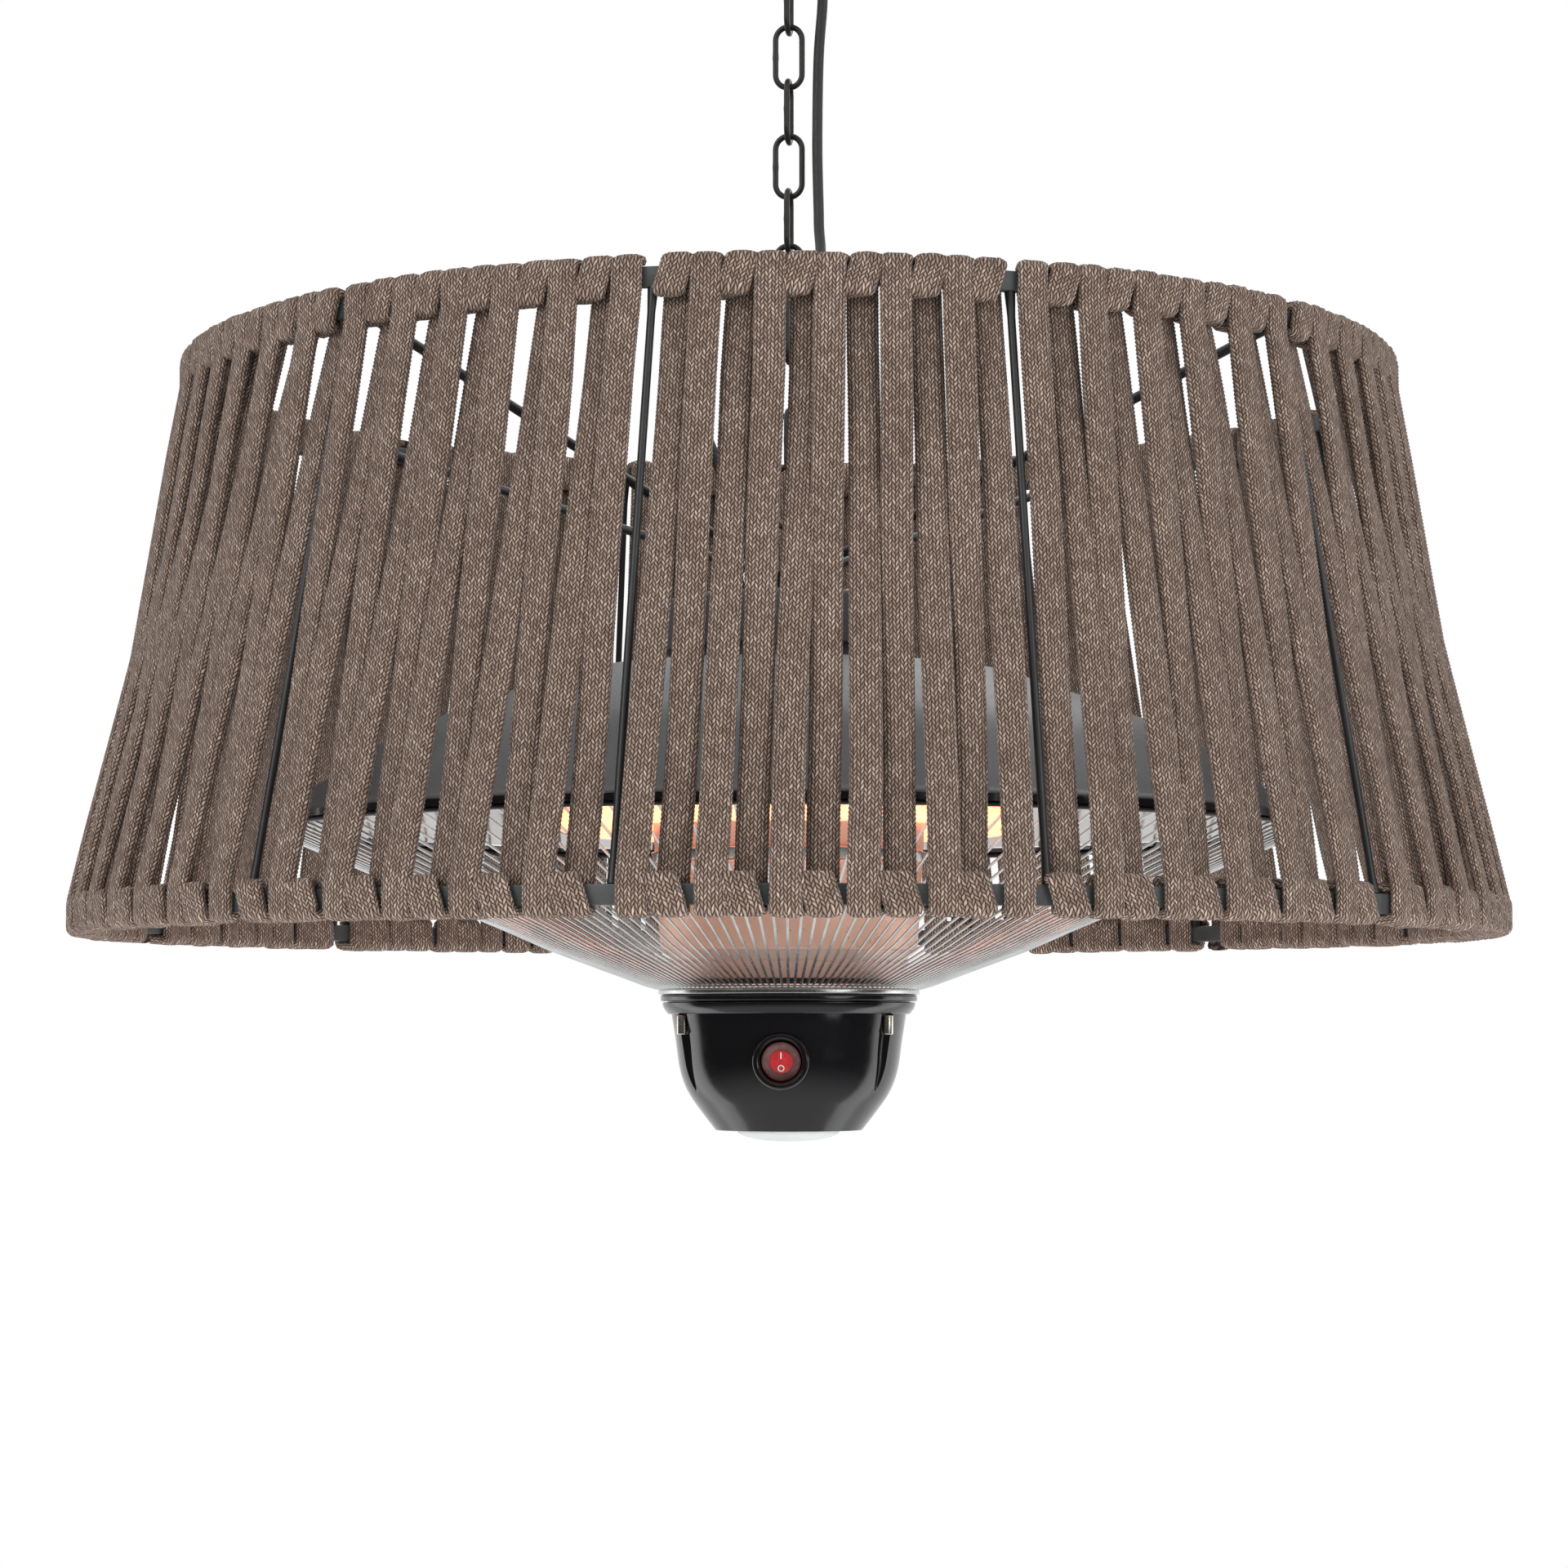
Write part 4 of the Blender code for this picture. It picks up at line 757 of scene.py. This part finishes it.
def makeLamp():
    # a ring of tube with a helix in it: r = ring + coil cos(n a), z = height + coil sin(n a)
    path = around(lamp["radius"], wholeTurn(192), lamp["height"])
    tube = swept(path, circle(lamp["tube"], 20), (0, 0, 1), closed=True)
    turns = round(2 * np.pi * lamp["radius"] / lamp["coilPitch"])
    share = np.arange(turns * 12) / (turns * 12)
    heading, swing = 2 * np.pi * share, 2 * np.pi * turns * share
    coil = around(lamp["radius"] + lamp["coil"] * np.cos(swing), heading,
                  lamp["height"] + lamp["coil"] * np.sin(swing))
    inward = -around(np.cos(swing), heading, -np.sin(swing))
    wire = swept(coil, circle(lamp["wire"], 5), inward, closed=True, paint=1)
    makePiece("lampRing", [tube, wire], ["quartz", "filament"], "heater", "lamp_ring")
    # ceramic blocks that hang from the reflector and clip round the tube
    for name, node, side in (("lampHolderLeft", "lamp_bracket_left", -1),
                             ("lampHolderRight", "lamp_bracket_right", 1)):
        outline = softened(lamp["holder"], 1.4, 4, True) * (side, 1)
        centre = np.array([lamp["radius"] * side, 0])
        points = np.stack([np.append((outline - centre) * size + centre, np.full((len(outline), 1), level), 1)
                           for level, size in lamp["holderShape"]])
        clip = turned(softened(lamp["clip"], 0.3, 3, True), 40, True, paint=1)
        x, y, z = clip["points"].T
        clip["points"] = np.stack([x + lamp["radius"] * side, z, y + lamp["height"]], -1)
        makePiece(name, [solid(points), clip], ["ceramic", "nickel"], "heater", node)


def makeColumn():
    # the bright body inside the ring lamp: two rolled seams, a shallower skirt with a bead, and a dark neck
    top, skirt, lower, foot = column["top"], column["skirt"], column["lower"], column["foot"]
    profile = [(0.5, top), (column["topRadius"], top)]
    for seam in column["seams"]:
        radius = np.interp(seam, [skirt, top], [column["skirtRadius"], column["topRadius"]])
        profile += [(radius - deep, seam + up) for deep, up in ((0, 0.5), (0.9, 0.35), (0.9, -0.35), (0, -0.5))]
    profile += [(column["skirtRadius"], skirt), (0.5, skirt)]
    body = turned(softened(profile, 0.35, 3), 192)
    band = turned(softened(column["band"], 0.4, 3, True), 192, True, paint=3)
    profile = [(0.5, skirt), (lower + 2.5, skirt)] + [(lower + out, height) for out, height in column["bead"]]
    skirtBody = turned(softened(profile + [(lower, foot), (0.5, foot)], 0.3, 3), 192, paint=2)
    profile = [(0.5, foot), (column["neck"], foot), (column["neck"], column["neckFoot"]), (0.5, column["neckFoot"])]
    neck = turned(softened(profile, 0.3, 2), 120, paint=1)
    makePiece("coreColumn", [body, band, skirtBody, neck], ["column", "enamel", "skirt", "mirror"], "heater",
              "core_column")


def makeGuard():
    # bent wires from the reflector's rim in to the collar, each one line turned about the axis, and two rings
    line = np.array(guard["line"])
    solids = []
    for number in range(guard["wires"]):
        angle = 2 * np.pi * (number + 0.5) / guard["wires"]
        path = around(line[:, 0], angle, line[:, 1])
        solids.append(swept(path, circle(guard["wire"] / 2, 6), (math.cos(angle), math.sin(angle), 0)))
    for radius, height, wire, paint in guard["rings"]:
        path = around(radius, wholeTurn(240), height)
        solids.append(swept(path, circle(wire, 12), (0, 0, 1), closed=True, paint=paint))
    makePiece("wireGuard", solids, ["chrome", "black"], "heater", "grille")
    collar = turned(softened(guard["collar"], 0.4, 3, True), 160, closed=True)
    makePiece("guardCollar", [collar], ["chrome"], "heater", "grille_collar")


# Head and switch

head = {
    "flanges": [(0.5, -25.5), (54.4, -25.5), (54.4, -28.2), (51.5, -28.2), (51.5, -28.7), (53.7, -28.7),
                (53.3, -30.8), (51.2, -33.6), (49.7, -33.6)],
    "flangeCuts": (0, 0.9, 0.7, 0.2, 0.2, 0.5, 1.0, 0.6, 0.0),
    "side": [(49.7, -33.7), (47.7, -46), (46.3, -57.5), (42.8, -66.8), (36.5, -75.4), (31.0, -82.4)],
    "under": [(29.5, -82.5), (24, -82.5), (0.5, -82.5)],
    "screwTurn": 60.0, "screwRadius": 49.4, "screw": [(0.3, -42.2), (2.5, -42.2), (2.5, -34.2), (0.3, -34.2)],
    "recessOut": 0.8, "recessRadius": 4.6, "recessTop": -33.7, "recessLength": 32.5,
    "lensRadius": 21.8, "lensTop": -82.7, "lensDepth": 4.6}
switch = {
    "height": -53.2, "face": 49.3, "pivot": 45.05, "tilt": 8.0, "pocket": 11.85, "pocketDepth": 8.8,
    "bezel": [(9.4, -0.3), (10.2, 0), (11.0, 0), (11.8, -0.9), (11.8, -8.4), (8.8, -8.4), (8.8, -1.0)],
    "bezelCuts": (0.3, 0.4, 0.5, 0.5, 0.2, 0.2, 0.6),
    "rim": [(0.5, -1.4), (8.2, -1.4), (8.2, 1.3), (7.2, 1.6), (5.0, 1.15), (0.5, 1.15)],
    "window": [(0.3, 0.9), (4.85, 0.9), (4.85, 1.4), (2.5, 1.62), (0.3, 1.7)],
    "bar": [(-0.24, -1.4), (0.24, -1.4), (0.24, 1.4), (-0.24, 1.4)], "barLevels": (1.5, 1.78), "barUp": 2.6,
    "ring": [(0.95, 1.4), (1.4, 1.4), (1.4, 1.76), (0.95, 1.76)], "ringUp": -2.65}


def makeHead():
    # flanges, a slightly waisted side and a round bottom, as a radius r at each height. Three upright screw recesses
    # are circles of radius c about a centre at d: they cross the side where cos e = (r^2 + d^2 - c^2) / 2rd.
    outline = np.concatenate([softened(head["flanges"], head["flangeCuts"], 4), softened(head["side"], 99, 12),
                              head["under"]])
    radius, height = outline.T
    share = ((head["recessTop"] - height) / head["recessLength"]).clip(0, 1)
    hollow = np.where(height <= head["recessTop"], head["recessRadius"] * np.sqrt(1 - share ** 2), 0)
    hollow[height < head["recessTop"] - head["recessLength"]] = 0
    centre = radius + head["recessOut"]
    cosine = (radius ** 2 + centre ** 2 - hollow ** 2) / (2 * radius * centre)
    hollowed = (hollow > 0.05) & (centre - hollow < radius - 0.02) & (np.abs(cosine) < 1)
    edge = np.where(hollowed, np.arccos(np.clip(cosine, -1, 1)), math.radians(1.2))
    first, last = int(np.argmax(height <= head["recessTop"])), int(np.nonzero(hollowed)[0].max())
    edge[:first], edge[last + 1:] = edge[first], edge[last]
    inside = np.sin(np.linspace(-1, 1, 25) * np.pi / 2)[:-1]
    outside = np.linspace(0, 1, 49)[:-1]
    swing = np.concatenate([edge[:, None] * inside[None],
                            edge[:, None] + (np.radians(120) - 2 * edge)[:, None] * outside[None]], 1)
    angle = np.concatenate([swing + math.radians(head["screwTurn"] + 120 * n) for n in range(3)], 1)
    fromScrew = swing[:, :24]
    cut = centre[:, None] * np.cos(fromScrew) - np.sqrt(
        (hollow[:, None] ** 2 - (centre[:, None] * np.sin(fromScrew)) ** 2).clip(0))
    reach = np.repeat(radius[:, None], swing.shape[1], 1)
    reach[:, :24] = np.where(hollowed[:, None], np.minimum(cut, reach[:, :24]), reach[:, :24])
    reach = np.concatenate([reach] * 3, 1)
    shell = makePiece("headShell", [solid(around(reach, angle, height[:, None]))], ["gloss"], sharp=40)
    # the switch's pocket is cut out of the front
    wide, deep = switch["pocket"], switch["pocketDepth"]
    pocket = turned([(0.5, 8), (wide, 8), (wide, -deep), (0.5, -deep)], 96)
    pocket = turnedToFront(pocket, (0, -switch["face"], switch["height"]))
    cutter = makePiece("pocketCutter", [pocket], ["gloss"])
    modifier = shell.modifiers.new("pocket", "BOOLEAN")
    modifier.object, modifier.solver = cutter, "EXACT"
    bpy.context.view_layer.update()
    mesh = bpy.data.meshes.new_from_object(shell.evaluated_get(bpy.context.evaluated_depsgraph_get()))
    shell.modifiers.clear()
    shell.data = mesh
    mesh.shade_smooth()
    mesh.set_sharp_from_angle(angle=math.radians(40))
    bpy.data.objects.remove(cutter)
    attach(shell, "heater")
    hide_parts("head_housing")
    for number in range(3):
        spot = around(head["screwRadius"], math.radians(head["screwTurn"] + 120 * number), 0)
        screw = movedTo(turned(softened(head["screw"], (0, 0.5, 0.3, 0), 3), 32), spot)
        makePiece("headScrew_%d" % (number + 1), [screw], ["nickel"], "heater", "screw_%d" % (number + 1))
    # the lens is a quarter of an ellipse turned round: r = R cos t, z = top - depth sin t
    t = np.linspace(0, 1, 14)
    dome = np.stack([head["lensRadius"] * np.cos(t * np.pi / 2).clip(0.01),
                     head["lensTop"] - head["lensDepth"] * np.sin(t * np.pi / 2)], -1)
    dome = np.concatenate([[(0.3, -82.3), (21.6, -82.3), (head["lensRadius"], -82.5)], dome])
    makePiece("frostedLens", [turned(dome, 96)], ["lens"], "heater", "lens")


def makeSwitch():
    # turned about a vertical axis first, then tilted as the rocker stands and laid to the front
    bezel = turned(softened(switch["bezel"], switch["bezelCuts"], 4, True), 96, closed=True)
    makePiece("switchBezel", [turnedToFront(bezel, (0, -switch["face"], switch["height"]))], ["gloss"], "heater",
              "switch_bezel")
    rim = turned(softened(switch["rim"], (0, 0.3, 0.6, 0.6, 0.3, 0), 4), 96)
    window = turned(softened(switch["window"], (0, 0.1, 0.2, 0.5, 0), 4), 64, paint=1)
    flat = softened(switch["bar"], 0.12, 3, True)
    bar = np.stack([np.append(flat, np.full((len(flat), 1), level), 1) for level in switch["barLevels"]])
    bar = movedTo(solid(bar, paint=2), (0, switch["barUp"], 0))
    ring = turned(softened(switch["ring"], 0.08, 3, True), 40, True, paint=2)
    parts = [rim, window, bar, movedTo(ring, (0, switch["ringUp"], 0))]
    tilt = math.radians(switch["tilt"])
    for item in parts:
        x, y, z = item["points"].T
        y, z = y * math.cos(tilt) - z * math.sin(tilt), y * math.sin(tilt) + z * math.cos(tilt)
        item["points"] = np.stack([x, y, z], -1)
        turnedToFront(item, (0, -switch["pivot"], switch["height"]))
    makePiece("rockerCap", parts, ["smoke", "red", "print"], "rocker", "switch_rocker")


# Studio

studio = {
    "worldLight": 0.8, "room": 0.05, "strip": (0.743, -0.669, 0), "floorDepth": 1750.0, "floorRadius": 1600.0,
    "aim": (0, 0, -0.4),
    "lights": (("keyLight", (-1.6, -2.2, 0.9), 1.6, 25.0), ("fillLight", (2.0, -1.7, 0.3), 1.8, 20.0),
               ("backLight", (0.3, 2.2, 0.9), 1.6, 16.0), ("lowLight", (0.1, -0.6, -1.6), 1.6, 15.0))}


def makeWorld():
    # The camera sees white, and surfaces get a plain level of light. Gloss sees a dark room towards the camera, a
    # tall soft panel to each side behind, light from above, a short strip low at the right, and a pale floor below.
    world = bpy.data.worlds.new("studio")
    bpy.context.scene.world = world
    world.use_nodes = True
    tree = world.node_tree
    tree.nodes.clear()
    path = addNode(tree, "LightPath")
    seen = addNode(tree, "Math", {0: path["Is Camera Ray"], 1: path["Is Transmission Ray"]}, operation="MAXIMUM")[0]
    where = addNode(tree, "TexCoord")["Generated"]
    height = addNode(tree, "SeparateXYZ", {0: where})[2]
    level = addNode(tree, "VectorMath", {0: where, 1: (1, 1, 0)}, operation="MULTIPLY")[0]
    level = addNode(tree, "VectorMath", {0: level}, operation="NORMALIZE")[0]
    behind = addNode(tree, "SeparateXYZ", {0: level})[1]
    right = addNode(tree, "VectorMath", {0: where, 1: studio["strip"]}, operation="DOT_PRODUCT")[1]
    # what each ramp follows, from where to where, and its value at both ends
    steps = {}
    for name, follows, *limits in (
            ("panel", behind, 0.08, 0.26, studio["room"], 1.7), ("panelBack", behind, 0.5, 0.7, 1.0, 0.5),
            ("above", height, 0.2, 0.55, 0.0, 0.9), ("below", height, -0.2, -0.9, 0.0, 0.6),
            ("strip", right, 0.975, 0.985, 0.0, 1.1), ("stripFoot", height, -0.2, -0.16, 0.0, 1.0),
            ("stripTop", height, -0.04, -0.02, 1.0, 0.0)):
        steps[name] = addNode(tree, "MapRange", {0: follows, **dict(enumerate(limits, 1))},
                              interpolation_type="SMOOTHSTEP")[0]
    for name, operation, other in (("panel", "MULTIPLY", "panelBack"), ("panel", "MAXIMUM", "above"),
                                   ("stripFoot", "MULTIPLY", "stripTop"), ("strip", "MULTIPLY", "stripFoot"),
                                   ("panel", "MAXIMUM", "strip"), ("panel", "MAXIMUM", "below")):
        steps[name] = addNode(tree, "Math", {0: steps[name], 1: steps[other]}, operation=operation)[0]
    plain = addNode(tree, "Mix", {0: path["Is Glossy Ray"], 6: (studio["worldLight"],) * 3 + (1,), 7: steps["panel"]},
                    data_type="RGBA")[2]
    colour = addNode(tree, "Mix", {0: seen, 6: plain, 7: (1, 1, 1, 1)}, data_type="RGBA")[2]
    back = addNode(tree, "Background", {"Color": colour, "Strength": 1.0})[0]
    addNode(tree, "OutputWorld", {"Surface": back})


def makeStudio():
    makeWorld()
    top = hangHeight - studio["floorDepth"]
    outline = [(0.3, top), (studio["floorRadius"], top), (studio["floorRadius"], top - 20), (0.3, top - 20)]
    floor = makePiece("studioFloor", [turned(outline, 96)], ["paper"])
    floor.visible_glossy = False  # gloss surfaces see the room's own gradient
    for name, spot, size, power in studio["lights"]:
        light = bpy.data.lights.new(name, "AREA")
        light.shape, light.size, light.energy = "DISK", size, power
        item = bpy.data.objects.new(name, light)
        item.location = spot
        heading = np.array(studio["aim"]) - np.array(spot)
        item.rotation_euler = (math.acos(-heading[2] / np.linalg.norm(heading)), 0,
                               math.atan2(heading[1], heading[0]) - math.pi / 2)
        item.visible_glossy = name != "lowLight"  # it would show as a hard patch in the head
        bpy.context.scene.collection.objects.link(item)


bpy.context.scene.view_settings.view_transform = "Standard"
makeCamera()
print("materials")
finishes = makeMaterials()
print("cable")
makeCable()
print("chain and ceiling parts")
makeChain()
makeCeilingParts()
print("rope winding")
makeRope()
print("shade frame")
makeShadeFrame()
print("reflector, lamp and guard")
makeReflector()
makeLamp()
makeColumn()
makeGuard()
print("head and switch")
makeHead()
makeSwitch()
print("studio")
makeStudio()
bpy.context.view_layer.update()
